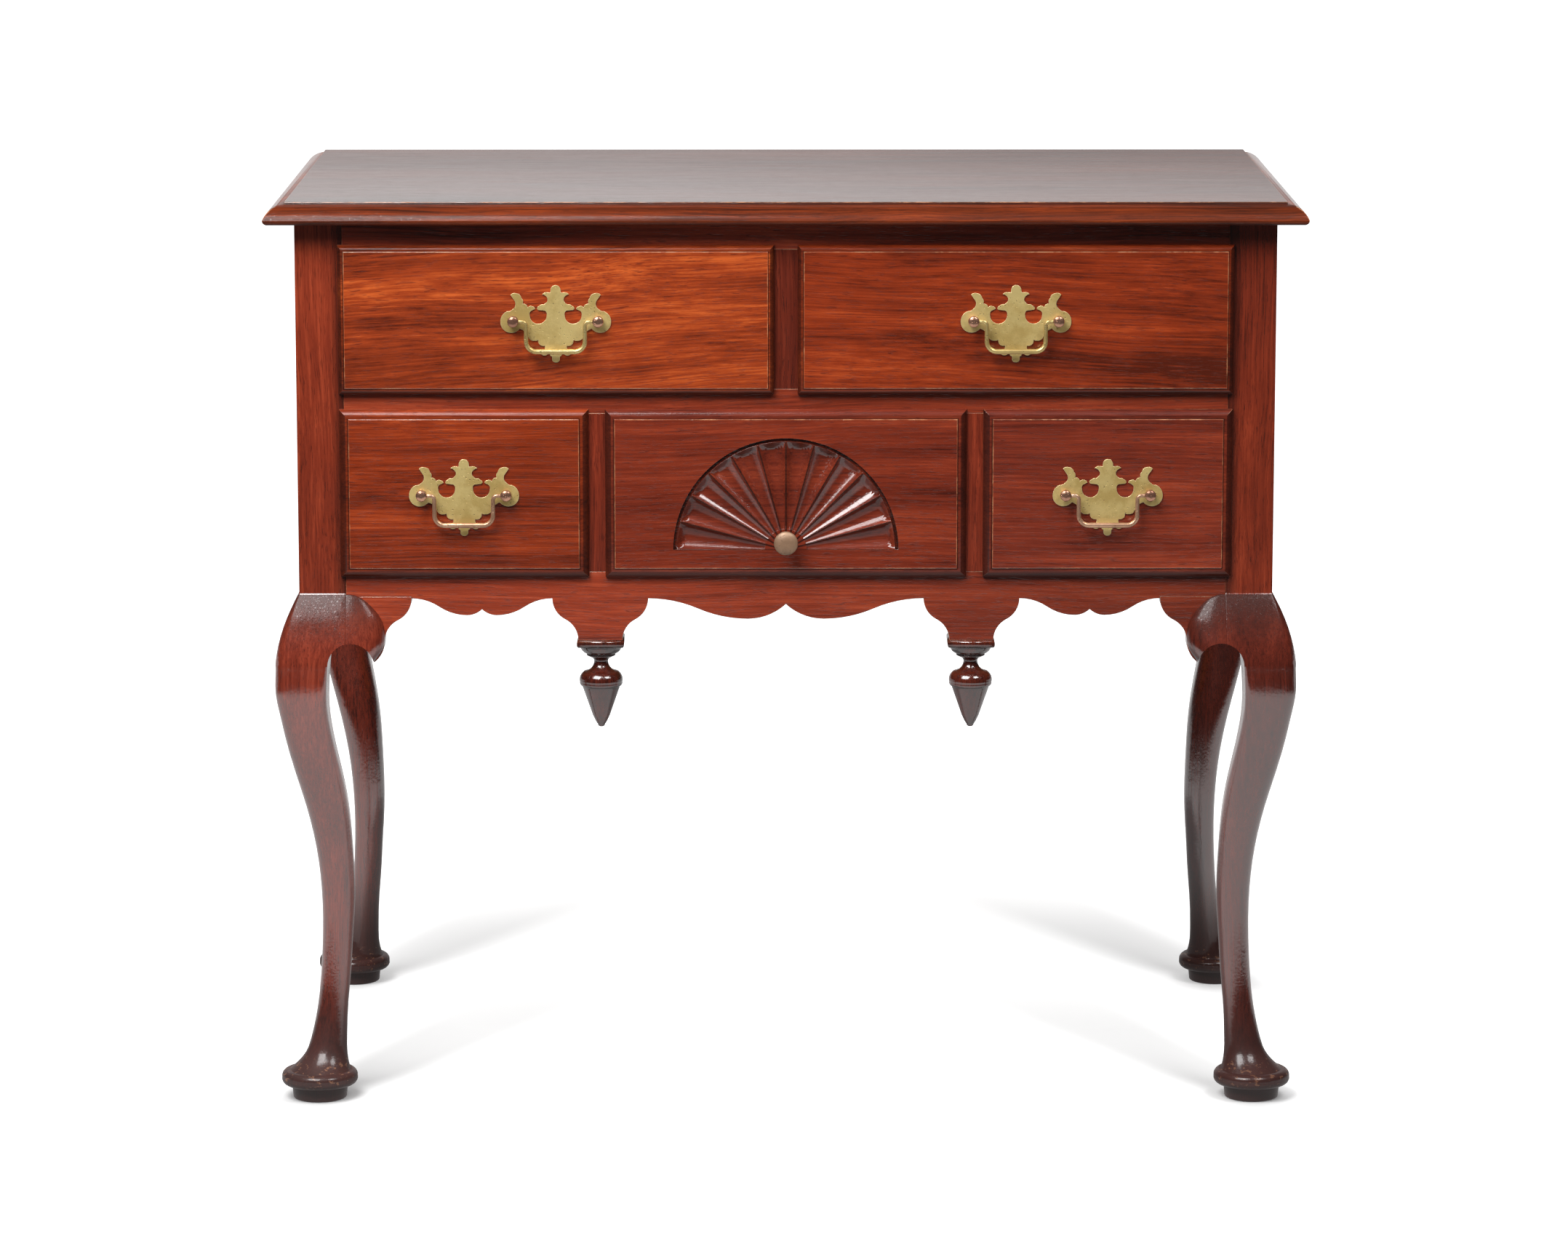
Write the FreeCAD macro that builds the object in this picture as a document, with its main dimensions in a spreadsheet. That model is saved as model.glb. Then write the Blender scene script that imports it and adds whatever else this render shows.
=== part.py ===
import FreeCAD, Part
import math
import os
from types import SimpleNamespace

import Sketcher
from FreeCAD import Rotation, Vector

# A lowboy: a dressing table with five lipped drawers on four cabriole legs.
# X runs along the front, Y from front to back, Z up from the floor, all in millimetres.
doc = FreeCAD.newDocument("lowboy")

SIZES = [
    # Heights, from the floor up
    ("leg_height", "461.5", "floor to the line where a knee meets its post"),
    ("bottom_rail_rise", "19.5", "knee line to the lower drawer openings"),
    ("lower_opening_height", "141.5", "lower drawer openings"),
    ("middle_rail_height", "21.5", "rail between the two rows of drawers"),
    ("upper_opening_height", "123.7", "upper drawer openings"),
    ("top_rail_height", "23.3", "rail under the top"),
    ("top_thickness", "19", "top board"),
    # Plan of the case
    ("case_width", "862", "over the posts"),
    ("case_depth", "476", "over the posts"),
    ("post_size", "41.5", "square post at the top of a leg"),
    ("centre_opening_width", "310.8", "lower centre drawer opening"),
    ("upper_divider_width", "28.6", "upright between the upper drawers"),
    ("lower_divider_width", "22.6", "uprights between the lower drawers"),
    ("rail_depth", "60", "top and middle rails, front to back"),
    ("divider_depth", "22", "uprights, front to back"),
    ("apron_thickness", "20", "front apron and its brackets"),
    ("side_thickness", "18", "side panels"),
    ("back_thickness", "14", "back panel"),
    # Top board
    ("top_side_overhang", "26", "top past the case at each end"),
    ("top_front_overhang", "26", "top past the case at the front"),
    ("top_back_overhang", "6", "top past the case at the back"),
    ("top_moulding", "18", "width of the moulded edge"),
    ("top_quirk", "2.2", "small step at the inner line of the moulding"),
    ("top_nose", "4.3", "round under the moulding's outermost line"),
    # Tenons and tongues
    ("tenon_length", "12", "tenon or tongue into a post"),
    ("tenon_thickness", "9", "tenon or tongue"),
    ("tenon_inset", "6", "tenon behind the outer face"),
    ("tenon_shoulder", "4", "tenon short of the rail at top and bottom"),
    # Legs and knees
    ("knee_drop", "62.2", "knee line to the foot of the arch beside a leg"),
    ("arch_radius", "20", "arch between a leg and its brackets"),
    ("arch_offset", "4", "arch centre past the post"),
    ("foot_radius", "34", "pad foot"),
    ("foot_inset", "11.5", "foot centre inside the outer faces of the case"),
    ("foot_height", "26", "pad foot with its shoe"),
    ("leg_sink", "2", "lower end of the leg below the top of its foot"),
    # Apron and brackets
    ("seam_drop", "3", "knee line to the glue seam above a bracket"),
    ("edge_drop", "4.5", "knee line to the lower edge of the apron"),
    ("waist_run", "9.6", "bracket tip to the bracket's widest line"),
    ("waist_rise", "18.7", "height of that stretch"),
    ("ogee_run", "24.3", "bracket's ogee, sideways"),
    ("cusp_run", "13.2", "side scallop, trough to cusp, sideways"),
    ("cusp_rise", "5.3", "side scallop, trough to cusp, upwards"),
    ("scallop_drop", "15.1", "side scallop, edge to trough"),
    ("centre_cusp_run", "33.6", "centre scallop, trough to cusp, sideways"),
    ("centre_cusp_rise", "13.2", "centre scallop, trough to cusp, upwards"),
    ("centre_scallop_drop", "18.4", "centre scallop, edge to trough"),
    ("drop_flat", "39.2", "flat under each drop of the apron"),
    ("drop_ogee_run", "22.9", "ogee beside each drop, sideways"),
    ("drop_height", "37.6", "drop below the apron's edge"),
    # Pendants
    ("pendant_place", "164.5", "pendant from the middle of the front"),
    ("pendant_inset", "19", "pendant's axis behind the apron's face"),
    ("pendant_plate", "41.8", "square plate above the turning"),
    ("pendant_plate_thickness", "7", "square plate above the turning"),
    ("pendant_radius", "19", "widest ring of the turning"),
    ("pendant_length", "74", "turning below its plate"),
    ("dowel_radius", "4.5", "dowel up into the apron"),
    ("dowel_length", "14", "dowel up into the apron"),
    # Drawers
    ("lip_overlap", "4", "drawer lip past its opening"),
    ("upper_lip", "5.2", "width of the moulding on the upper drawers' lips"),
    ("lower_lip", "8", "width of the moulding on the lower drawers' lips"),
    ("lip_edge", "2.6", "lip's square edge"),
    ("lip_rise", "4.9", "round of the lip"),
    ("lip_quirk", "1", "small step at the edge of the drawer's field"),
    ("lip_gap", "0.3", "lip in front of the case when shut"),
    ("front_inset", "13", "drawer front behind the case's face"),
    ("drawer_gap", "1", "drawer clear of its opening at each side"),
    ("drawer_lift", "0.3", "drawer above its runners"),
    ("drawer_headroom", "2", "drawer below the top of its opening"),
    ("drawer_back_gap", "32", "shut drawer clear of the back panel"),
    ("drawer_side", "11", "thickness of drawer sides"),
    ("drawer_back", "10", "thickness of drawer backs"),
    ("drawer_bottom", "7", "thickness of drawer bottoms"),
    ("bottom_rise", "9", "drawer bottom above the sides' lower edge"),
    ("groove_depth", "5", "grooves for drawer bottoms and backs"),
    ("back_inset", "6", "drawer back inside the ends of the sides"),
    ("back_step", "4", "drawer back below the sides' upper edge"),
    ("tail_length", "9", "dovetails into a drawer front"),
    ("tail_flare", "1.6", "dovetail wider at its tip, each side"),
    # Runners and blocks
    ("runner_lap", "18", "runner under the drawer"),
    ("runner_thickness", "20", "runners"),
    ("guide_height", "18", "guides beside the drawers"),
    ("glue_block_size", "26", "blocks under the top"),
    ("glue_block_length", "70", "blocks under the top"),
    # Carved fan and knob
    ("fan_radius", "99.5", "fan on the lower centre drawer"),
    ("fan_base_rise", "21", "fan's straight edge above the opening"),
    ("fan_border", "3.2", "sunk border round the fan"),
    ("fan_border_depth", "3", "border below the field"),
    ("fan_recess", "1", "ridges of the fan below the field"),
    ("flute_depth", "6", "flutes below the ridges at the rim"),
    ("hub_radius", "18.5", "plain half disc in the middle of the fan"),
    ("knob_rise", "8.5", "knob above the fan's straight edge"),
    ("knob_radius", "10.5", "knob"),
    ("knob_projection", "21.5", "knob in front of the field"),
    # Pulls
    ("pull_spacing", "74.5", "between the two posts of a pull"),
    ("plate_width", "97", "backplate"),
    ("plate_above", "31.3", "backplate above the posts"),
    ("plate_below", "36.8", "backplate below the posts"),
    ("plate_thickness", "1.3", "backplate"),
    ("head_radius", "4.9", "head of a post"),
    ("post_projection", "12.6", "post in front of the field"),
    ("pivot_projection", "9", "bail's axis in front of the field"),
    ("wire_radius", "2", "bail"),
    ("bail_half_width", "25.8", "bail's arms from the middle of the pull"),
    ("bail_drop", "26.4", "bail's bar below its axis"),
    ("shoulder_radius", "3.6", "bend at the top of a bail's arm"),
    ("corner_radius", "9", "bend at the bottom of a bail's arm"),
    ("pin_depth", "4.2", "bail's end inside a post's head"),
    ("pin_fit", "0.06", "bail's end to its hole"),
    ("pin_end_gap", "0.4", "bail's end to the bottom of its hole"),
    ("shank_radius", "2", "shank through a drawer front"),
    ("shank_gap", "0.2", "shank to its bore"),
    ("nut_size", "9", "square nut behind a drawer front"),
    ("nut_thickness", "3", "square nut behind a drawer front"),
    ("nut_gap", "0.1", "shank to the nut's bore"),
    ("overrun", "5", "how far a cutting shape reaches past the wood"),
]

# Shares of the outlines, chosen by eye.
# A knee, from the knee line down: depth over knee_drop, then over post_size the outer and inner faces,
# measured inwards from the outer face of the post, and the rounds of the outer corner, the two side
# corners and the inner corner.
knee_shares = [
    (0.0, 0.0, 1.0, 0.025, 0.015, 0.015),
    (0.25, -0.205, 1.0, 0.12, 0.015, 0.015),
    (0.506, -0.357, 1.0, 0.2, 0.015, 0.015),
    (0.748, -0.458, 1.0, 0.26, 0.015, 0.015),
    (1.0, -0.516, 1.0, 0.3, 0.015, 0.015),
    (1.246, -0.525, 1.0, 0.32, 0.015, 0.015),
]
# The leg below its knee: height over the stretch from leg_start to arch_foot, then as for a knee.
leg_shares = [
    (1.0, -0.516, 0.6145, 0.3, 0.035, 0.035),
    (0.9593, -0.525, 0.59, 0.32, 0.09, 0.09),
    (0.9166, -0.506, 0.58, 0.325, 0.14, 0.15),
    (0.8739, -0.436, 0.602, 0.33, 0.19, 0.21),
    (0.8127, -0.328, 0.687, 0.335, 0.25, 0.28),
    (0.7276, -0.142, 0.843, 0.345, 0.305, 0.34),
    (0.6665, 0.005, 0.94, 0.35, 0.335, 0.365),
    (0.5835, 0.176, 1.012, 0.345, 0.345, 0.355),
    (0.4978, 0.294, 1.05, 0.335, 0.335, 0.338),
    (0.3946, 0.354, 1.048, 0.315, 0.315, 0.315),
    (0.3329, 0.354, 1.01, 0.302, 0.302, 0.302),
    (0.2478, 0.32, 0.962, 0.299, 0.299, 0.299),
    (0.1648, 0.248, 0.896, 0.305, 0.305, 0.305),
    (0.101, 0.14, 0.868, 0.346, 0.346, 0.346),
    (0.0616, 0.045, 0.862, 0.395, 0.395, 0.395),
    (0.04, -0.05, 0.872, 0.445, 0.445, 0.445),
    (0.0172, -0.235, 0.905, 0.55, 0.55, 0.55),
    (0.0, -0.42, 0.975, 0.675, 0.675, 0.675),
]
# Pad foot: radius over foot_radius, height over foot_height, bend of the line to the next point.
foot_shares = [
    (0.0, 0.0, None),
    (0.66, 0.0, 0.8),
    (0.71, 0.07, None),
    (0.74, 0.47, None),
    (0.9, 0.5, 0.75),
    (1.0, 0.75, 0.75),
    (0.87, 1.0, None),
    (0.0, 1.0, None),
]
# Knee block: height over knee_drop below the knee line, reach over bracket_waist, depth over post_size.
block_shares = [
    (0.012, 0.08, 0.012),
    (0.055, 0.36, 0.055),
    (0.145, 0.58, 0.128),
    (0.275, 0.80, 0.222),
    (0.415, 0.95, 0.306),
    (0.555, 1.0, 0.378),
    (0.70, 1.0, 0.440),
    (0.83, 0.92, 0.480),
    (0.925, 0.80, 0.500),
    (1.03, 0.66, 0.515),
]
# Pendant: radius over pendant_radius, depth over pendant_length, bend of the line to the next point.
pendant_shares = [
    (0.0, 0.0, None),
    (0.97, 0.0, None),
    (0.97, 0.012, 0.72),
    (0.63, 0.105, None),
    (0.66, 0.112, 0.6),
    (0.66, 0.13, None),
    (0.5, 0.15, -0.8),
    (0.33, 0.2, -0.75),
    (0.795, 0.325, 0.85),
    (1.0, 0.455, 0.8),
    (0.91, 0.502, None),
    (0.88, 0.512, None),
    (0.4, 0.865, None),
    (0.27, 0.935, None),
    (0.17, 0.975, 0.6),
    (0.0, 1.0, None),
]
# Knob: radius over knob_radius, distance in front of the field over knob_projection, bend.
knob_shares = [
    (0.0, 0.0, None),
    (0.68, 0.0, None),
    (0.68, 0.06, 0.75),
    (0.5, 0.16, -0.8),
    (0.4, 0.38, -0.75),
    (0.86, 0.66, 0.9),
    (1.0, 0.78, 0.75),
    (0.9, 0.9, 1.4),
    (0.0, 1.0, None),
]
# Post of a pull: radius over head_radius, distance in front of the field over post_projection, bend.
post_shares = [
    (0.0, 0.0, None),
    (0.9, 0.0, None),
    (0.9, 0.18, 0.75),
    (0.66, 0.3, -1.2),
    (0.7, 0.38, 0.9),
    (1.0, 0.58, None),
    (1.0, 0.8, 0.75),
    (0.72, 0.96, 1.6),
    (0.0, 1.0, None),
]
# Left half of a batwing backplate, from the top round to the bottom: sideways over half of plate_width,
# height over plate_above or plate_below, bend of the line to the next point.
plate_shares = [
    (0.0, 1.0, 0.72),
    (-0.092, 0.86, None),
    (-0.096, 0.79, None),
    (-0.165, 0.8, 1.2),
    (-0.241, 0.742, -1.0),
    (-0.15, 0.64, -0.8),
    (-0.178, 0.5, -1.2),
    (-0.225, 0.455, 0.8),
    (-0.29, 0.42, 0.9),
    (-0.338, 0.345, 0.75),
    (-0.3, 0.3, None),
    (-0.192, 0.281, -0.83),
    (-0.164, 0.147, -0.7071),
    (-0.3165, -0.076, -0.7071),
    (-0.469, 0.147, -0.83),
    (-0.441, 0.281, None),
    (-0.372, 0.33, 0.8),
    (-0.42, 0.4, 0.7),
    (-0.505, 0.37, 0.7),
    (-0.6, 0.475, 0.72),
    (-0.615, 0.63, 0.8),
    (-0.7, 0.765, 0.9),
    (-0.815, 0.73, None),
    (-0.735, 0.55, -0.75),
    (-0.79, 0.31, -1.0),
    (-0.868, 0.265, 0.83),
    (-1.0, -0.03, 0.7071),
    (-0.812, -0.288, 1.12),
    (-0.65, -0.19, -1.2),
    (-0.5, -0.37, None),
    (-0.485, -0.42, 0.9),
    (-0.38, -0.48, 1.0),
    (-0.32, -0.455, None),
    (-0.315, -0.53, 0.75),
    (-0.2, -0.6, -1.0),
    (-0.215, -0.7, None),
    (-0.285, -0.775, 0.62),
    (-0.145, -0.8, None),
    (-0.118, -0.76, None),
    (-0.1, -0.84, None),
    (-0.07, -0.86, None),
    (-0.07, -0.935, 0.75),
    (0.0, -1.0, None),
]
# Where the glue blocks stand along the back, over the distance from the middle to a post.
glue_block_shares = (-0.8, -0.4, 0.4, 0.8)
# Dovetails: how much of their spacing they fill, and how many there are at each corner.
tail_share = 0.55
tail_count = 4
# The fan's flutes, and how much of its spacing a flute fills.
flute_count = 12
flute_width_share = 0.95


class Size:
    """A length that carries its formula, so that a drawn point and what it is bound to agree."""

    def __init__(self, text, value):
        self.text = text
        self.value = float(value)

    def __neg__(self):
        return Size(f"-({self.text})", -self.value)

    def __add__(self, other):
        other = sized(other)
        return Size(f"({self.text} + {other.text})", self.value + other.value)

    def __sub__(self, other):
        other = sized(other)
        return Size(f"({self.text} - {other.text})", self.value - other.value)

    def __mul__(self, other):
        other = sized(other)
        return Size(f"({self.text} * {other.text})", self.value * other.value)

    def __truediv__(self, other):
        other = sized(other)
        return Size(f"({self.text} / {other.text})", self.value / other.value)

    def __radd__(self, other):
        return sized(other) + self

    def __rsub__(self, other):
        return sized(other) - self

    def __rmul__(self, other):
        return sized(other) * self


def sized(value):
    """Take a plain share as a size without a formula of its own."""
    if isinstance(value, Size):
        return value
    return Size(f"({value!r})", value)


def root(area):
    """Square root, as a formula and a number."""
    return Size(f"sqrt({area.text})", math.sqrt(area.value))


# The driving dimensions go into one sheet, and what follows from them into a second one.
S = SimpleNamespace()
sizes = doc.addObject("Spreadsheet::Sheet", "sizes")
for row, (alias, number, note) in enumerate(SIZES, 1):
    sizes.set(f"A{row}", note)
    sizes.set(f"B{row}", number)
    sizes.setAlias(f"B{row}", alias)
doc.recompute()
for alias, number, note in SIZES:
    setattr(S, alias, Size(f"sizes.{alias}", getattr(sizes, alias)))

places = doc.addObject("Spreadsheet::Sheet", "places")
placed = []


def place(alias, formula):
    """Keep a place or size that follows from others in the second sheet."""
    placed.append(alias)
    row = len(placed)
    places.set(f"A{row}", alias)
    places.set(f"B{row}", "=" + formula.text.replace("places.", ""))
    places.setAlias(f"B{row}", alias)
    setattr(S, alias, Size(f"places.{alias}", formula.value))


place("half_case", S.case_width / 2)
place("inner", S.half_case - S.post_size)
place("foot_standout", S.foot_radius - S.foot_inset)
place("field", S.lip_edge + S.lip_rise + S.lip_quirk + S.lip_gap)
place("front", (S.field + S.knob_projection - S.case_depth - S.foot_standout) / 2)
place("back", S.front + S.case_depth)
place("middle", S.front + S.case_depth / 2)
place("back_face", S.back - S.back_thickness)
place("rear_posts", S.back - S.post_size)
place("front_posts", S.front + S.post_size)
place("side_face", S.half_case - S.side_thickness)
place("edge", S.leg_height - S.edge_drop)
place("seam", S.leg_height - S.seam_drop)
place("arch_foot", S.leg_height - S.knee_drop)
place("leg_start", S.foot_height - S.leg_sink)
place("lower_floor", S.leg_height + S.bottom_rail_rise)
place("lower_ceiling", S.lower_floor + S.lower_opening_height)
place("upper_floor", S.lower_ceiling + S.middle_rail_height)
place("upper_ceiling", S.upper_floor + S.upper_opening_height)
place("case_top", S.upper_ceiling + S.top_rail_height)
place("half_upper_divider", S.upper_divider_width / 2)
place("half_centre", S.centre_opening_width / 2)
place("outer_divider", S.half_centre + S.lower_divider_width)
place("upper_width", S.inner - S.half_upper_divider)
place("upper_place", S.half_upper_divider + S.upper_width / 2)
place("lower_width", S.inner - S.outer_divider)
place("lower_place", S.outer_divider + S.lower_width / 2)
place("top_width", S.case_width + 2 * S.top_side_overhang)
place("top_depth", S.case_depth + S.top_front_overhang + S.top_back_overhang)
place("top_round", S.top_thickness - S.top_quirk - S.top_nose)
place("half_side", S.case_depth / 2 - S.post_size)
place("drawer_depth", S.case_depth - S.back_thickness - S.drawer_back_gap)
place("bracket_tip", S.arch_offset + S.arch_radius)
place("bracket_waist", S.bracket_tip + S.waist_run)
place("bracket_end", S.bracket_waist + S.ogee_run)
place("arch_rise", root(S.arch_radius * S.arch_radius - S.arch_offset * S.arch_offset))
place("ogee_drop", S.knee_drop - S.edge_drop - S.waist_rise)
place("drop_half", S.drop_flat / 2 + S.drop_ogee_run)
place("drop_bottom", S.edge - S.drop_height)
place("scallop_half", (S.inner - S.bracket_end - S.pendant_place - S.drop_half) / 2)
place("scallop_run", S.scallop_half - S.cusp_run)
place("centre_scallop_run", S.pendant_place - S.drop_half - S.centre_cusp_run)
place("fan_base", S.lower_floor + S.fan_base_rise)
place("knob_height", S.fan_base + S.knob_rise)
place("flute_end", S.fan_radius - S.fan_border)
place("upper_pull", S.upper_floor + S.upper_opening_height / 2)
place("lower_pull", S.lower_floor + S.lower_opening_height / 2)
place("half_spacing", S.pull_spacing / 2)
place("field_face", S.front - S.field)
doc.recompute()

ZERO = Size("0", 0)
nodes = []


def keep(piece, label):
    """Name a finished piece; its label names its file."""
    piece.Label = label
    nodes.append(piece)
    return piece


def move(piece, x=None, y=None, z=None):
    """Bind where a piece stands."""
    for axis, where in (("x", x), ("y", y), ("z", z)):
        if where is not None:
            piece.setExpression(f"Placement.Base.{axis}", where.text)
    return piece


def block(name, x, y, z):
    """A squared piece of wood between two places on each axis."""
    box = doc.addObject("Part::Box", name)
    for side, (low, high) in zip(("Length", "Width", "Height"), (x, y, z)):
        box.setExpression(side, (high - low).text)
    return move(box, x[0], y[0], z[0])


def rod(name, radius, length, x, y, z, axis):
    """A round piece that starts at a place and runs along an axis."""
    cylinder = doc.addObject("Part::Cylinder", name)
    cylinder.setExpression("Radius", radius.text)
    cylinder.setExpression("Height", length.text)
    cylinder.Placement.Rotation = Rotation(Vector(0, 0, 1), Vector(*axis))
    return move(cylinder, x, y, z)


def cut(name, base, tools):
    """Take the tools away from a piece."""
    piece = doc.addObject("Part::Cut", name)
    piece.Base = base
    piece.Tool = tools[0] if len(tools) == 1 else fuse(name + "_tools", tools)
    return piece


def fuse(name, pieces):
    """Join pieces into one."""
    piece = doc.addObject("Part::MultiFuse", name)
    piece.Shapes = pieces
    piece.Refine = True
    return piece


def meet(name, pieces):
    """What two pieces have in common."""
    piece = doc.addObject("Part::MultiCommon", name)
    piece.Shapes = pieces
    return piece


def group(name, pieces):
    """Separate solids kept as one piece."""
    piece = doc.addObject("Part::Compound", name)
    piece.Links = pieces
    return piece


def mirror(name, source, normal, x=ZERO, y=ZERO):
    """The same piece on the other side of a plane."""
    piece = doc.addObject("Part::Mirroring", name)
    piece.Source = source
    piece.Normal = Vector(*normal)
    piece.setExpression("Base.x", x.text)
    piece.setExpression("Base.y", y.text)
    return piece


def drawn(name, shape):
    """A piece whose shape is drawn directly from the sizes."""
    piece = doc.addObject("Part::Feature", name)
    piece.Shape = shape
    return piece


def arc_centre(start, end, radius, left):
    """Centre of the short arc between two points, on the left or right of the way along it."""
    along = end - start
    reach = math.sqrt(max(radius * radius - along.Length * along.Length / 4, 0))
    across = Vector(-along.y, along.x, 0).normalize()
    return (start + end) * 0.5 + across * (reach if left else -reach)


def bend_radius(corner, after):
    """Radius of a bend: a formula as it is, a plain number as a share of the chord."""
    bend = corner[2]
    if isinstance(bend, Size):
        return bend if bend.value > 0 else -bend
    run = after[0] - corner[0]
    rise = after[1] - corner[1]
    return root(run * run + rise * rise) * abs(bend)


def turns_left(bend):
    """Whether a bend turns to the left."""
    return (bend.value if isinstance(bend, Size) else bend) > 0


def outline(body, name, role, corners):
    """A closed sketch on one of the body's planes, each corner bound to its formulas."""
    sketch = body.newObject("Sketcher::SketchObject", name)
    plane = [item for item in body.Origin.OriginFeatures if item.Role == role][0]
    sketch.AttachmentSupport = [(plane, "")]
    sketch.MapMode = "FlatFace"
    ends = []
    bends = []
    for place_in_list, corner in enumerate(corners):
        after = corners[(place_in_list + 1) % len(corners)]
        start = Vector(corner[0].value, corner[1].value, 0)
        end = Vector(after[0].value, after[1].value, 0)
        if corner[2] is None:
            sketch.addGeometry(Part.LineSegment(start, end))
            ends.append((1, 2))
            continue
        left = turns_left(corner[2])
        radius = bend_radius(corner, after)
        centre = arc_centre(start, end, radius.value, left)
        first, last = (start, end) if left else (end, start)
        circle = Part.Circle(centre, Vector(0, 0, 1), radius.value)
        angles = [math.atan2(point.y - centre.y, point.x - centre.x) for point in (first, last)]
        sketch.addGeometry(Part.ArcOfCircle(circle, *angles))
        ends.append((1, 2) if left else (2, 1))
        bends.append((place_in_list, radius))
    for index in range(len(corners)):
        after = (index + 1) % len(corners)
        joint = Sketcher.Constraint("Coincident", index, ends[index][1], after, ends[after][0])
        sketch.addConstraint(joint)
    for index, corner in enumerate(corners):
        point = ends[index][0]
        for kind, axis, where in (("DistanceX", -2, corner[0]), ("DistanceY", -1, corner[1])):
            if where.value == 0:
                sketch.addConstraint(Sketcher.Constraint("PointOnObject", index, point, axis))
                continue
            constraint = sketch.addConstraint(Sketcher.Constraint(kind, -1, 1, index, point, where.value))
            sketch.renameConstraint(constraint, f"{kind}_{index}")
            sketch.setExpression(f"Constraints.{kind}_{index}", where.text)
    for index, radius in bends:
        constraint = sketch.addConstraint(Sketcher.Constraint("Radius", index, radius.value))
        sketch.renameConstraint(constraint, f"Radius_{index}")
        sketch.setExpression(f"Constraints.Radius_{index}", radius.text)
    return sketch


def padded(name, role, corners, length, x=None, y=None, z=None):
    """A board sawn to an outline, half its thickness on each side of the outline's plane."""
    body = doc.addObject("PartDesign::Body", name)
    sketch = outline(body, name + "_outline", role, corners)
    pad = body.newObject("PartDesign::Pad", name + "_pad")
    pad.Profile = sketch
    pad.Midplane = True
    pad.setExpression("Length", length.text)
    return move(body, x, y, z)


def turned(name, role, shares, radius, length, x, y, z):
    """A turned piece: a half outline spun about the vertical axis of its sketch."""
    corners = [(radius * across, -length * along, bend_back(bend)) for across, along, bend in shares]
    body = doc.addObject("PartDesign::Body", name)
    sketch = outline(body, name + "_outline", role, corners)
    spin = body.newObject("PartDesign::Revolution", name + "_spin")
    spin.Profile = sketch
    spin.ReferenceAxis = (sketch, ["V_Axis"])
    return move(body, x, y, z)


def bend_back(bend):
    """The same bend on an outline that runs downwards."""
    return None if bend is None else -bend


def mirrored(left):
    """Carry a left half outline over to the right; its last point stands on the middle line."""
    right = []
    first = 1 if left[0][0].value == 0 else 0
    for index in range(len(left) - 2, first - 1, -1):
        before = left[index - 1][2] if index else None
        right.append((-left[index][0], left[index][1], before))
    last = left[-1]
    return left[:-1] + [(last[0], last[1], left[-2][2])] + right


def ease(run, drop):
    """Radius of the two equal arcs of a curve that starts and ends level."""
    return (run * run + drop * drop) / (4 * drop)


def swept_arc(run, rise):
    """Radius of an arc that starts level and gains a rise over a run."""
    return (run * run + rise * rise) / (2 * rise)


# Top board: two mouldings run at right angles, and what they have in common.
top_bend = swept_arc(S.top_moulding, S.top_round)
front_to_back = [
    (S.top_nose, ZERO, None),
    (S.top_depth, ZERO, None),
    (S.top_depth, S.top_thickness, None),
    (S.top_moulding, S.top_thickness, None),
    (S.top_moulding, S.top_thickness - S.top_quirk, top_bend),
    (ZERO, S.top_nose, S.top_nose),
]
half_top = S.top_width / 2
end_to_end = [
    (S.top_nose - half_top, ZERO, None),
    (half_top - S.top_nose, ZERO, S.top_nose),
    (half_top, S.top_nose, top_bend),
    (half_top - S.top_moulding, S.top_thickness - S.top_quirk, None),
    (half_top - S.top_moulding, S.top_thickness, None),
    (S.top_moulding - half_top, S.top_thickness, None),
    (S.top_moulding - half_top, S.top_thickness - S.top_quirk, top_bend),
    (-half_top, S.top_nose, S.top_nose),
]
top_front = S.front - S.top_front_overhang
top_across = padded("top_across", "YZ_Plane", front_to_back, S.top_width, None, top_front, S.case_top)
top_middle = top_front + S.top_depth / 2
top_along = padded("top_along", "XZ_Plane", end_to_end, S.top_depth, None, top_middle, S.case_top)
keep(meet("top_shape", [top_across, top_along]), "top_board")

# Tenons of the front rails and tongues of the panels, which the posts are cut for.
tenon_y = (S.front + S.tenon_inset, S.front + S.tenon_inset + S.tenon_thickness)
tenon_reach = S.inner + S.tenon_length


def tenon(name, low, high):
    """A tenon right through a rail from post to post."""
    tenon_z = (low + S.tenon_shoulder, high - S.tenon_shoulder)
    return block(name, (-tenon_reach, tenon_reach), tenon_y, tenon_z)


top_tenon = tenon("top_tenon", S.upper_ceiling, S.case_top)
middle_tenon = tenon("middle_tenon", S.lower_ceiling, S.upper_floor)
apron_tenon = tenon("apron_tenon", S.seam, S.lower_floor)
panel_z = (S.leg_height + S.tenon_shoulder, S.case_top - S.tenon_shoulder)
back_tongue_y = (S.back_face + S.tenon_shoulder, S.back - S.tenon_shoulder)
back_tongue = block("back_tongue", (-tenon_reach, tenon_reach), back_tongue_y, panel_z)
tongue_y = (S.front_posts - S.tenon_length, S.rear_posts + S.tenon_length)
tongue_x = (S.tenon_inset - S.half_case, S.tenon_inset + S.tenon_thickness - S.half_case)
left_tongue = block("left_tongue", tongue_x, tongue_y, panel_z)
right_tongue = mirror("right_tongue", left_tongue, (1, 0, 0))


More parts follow.
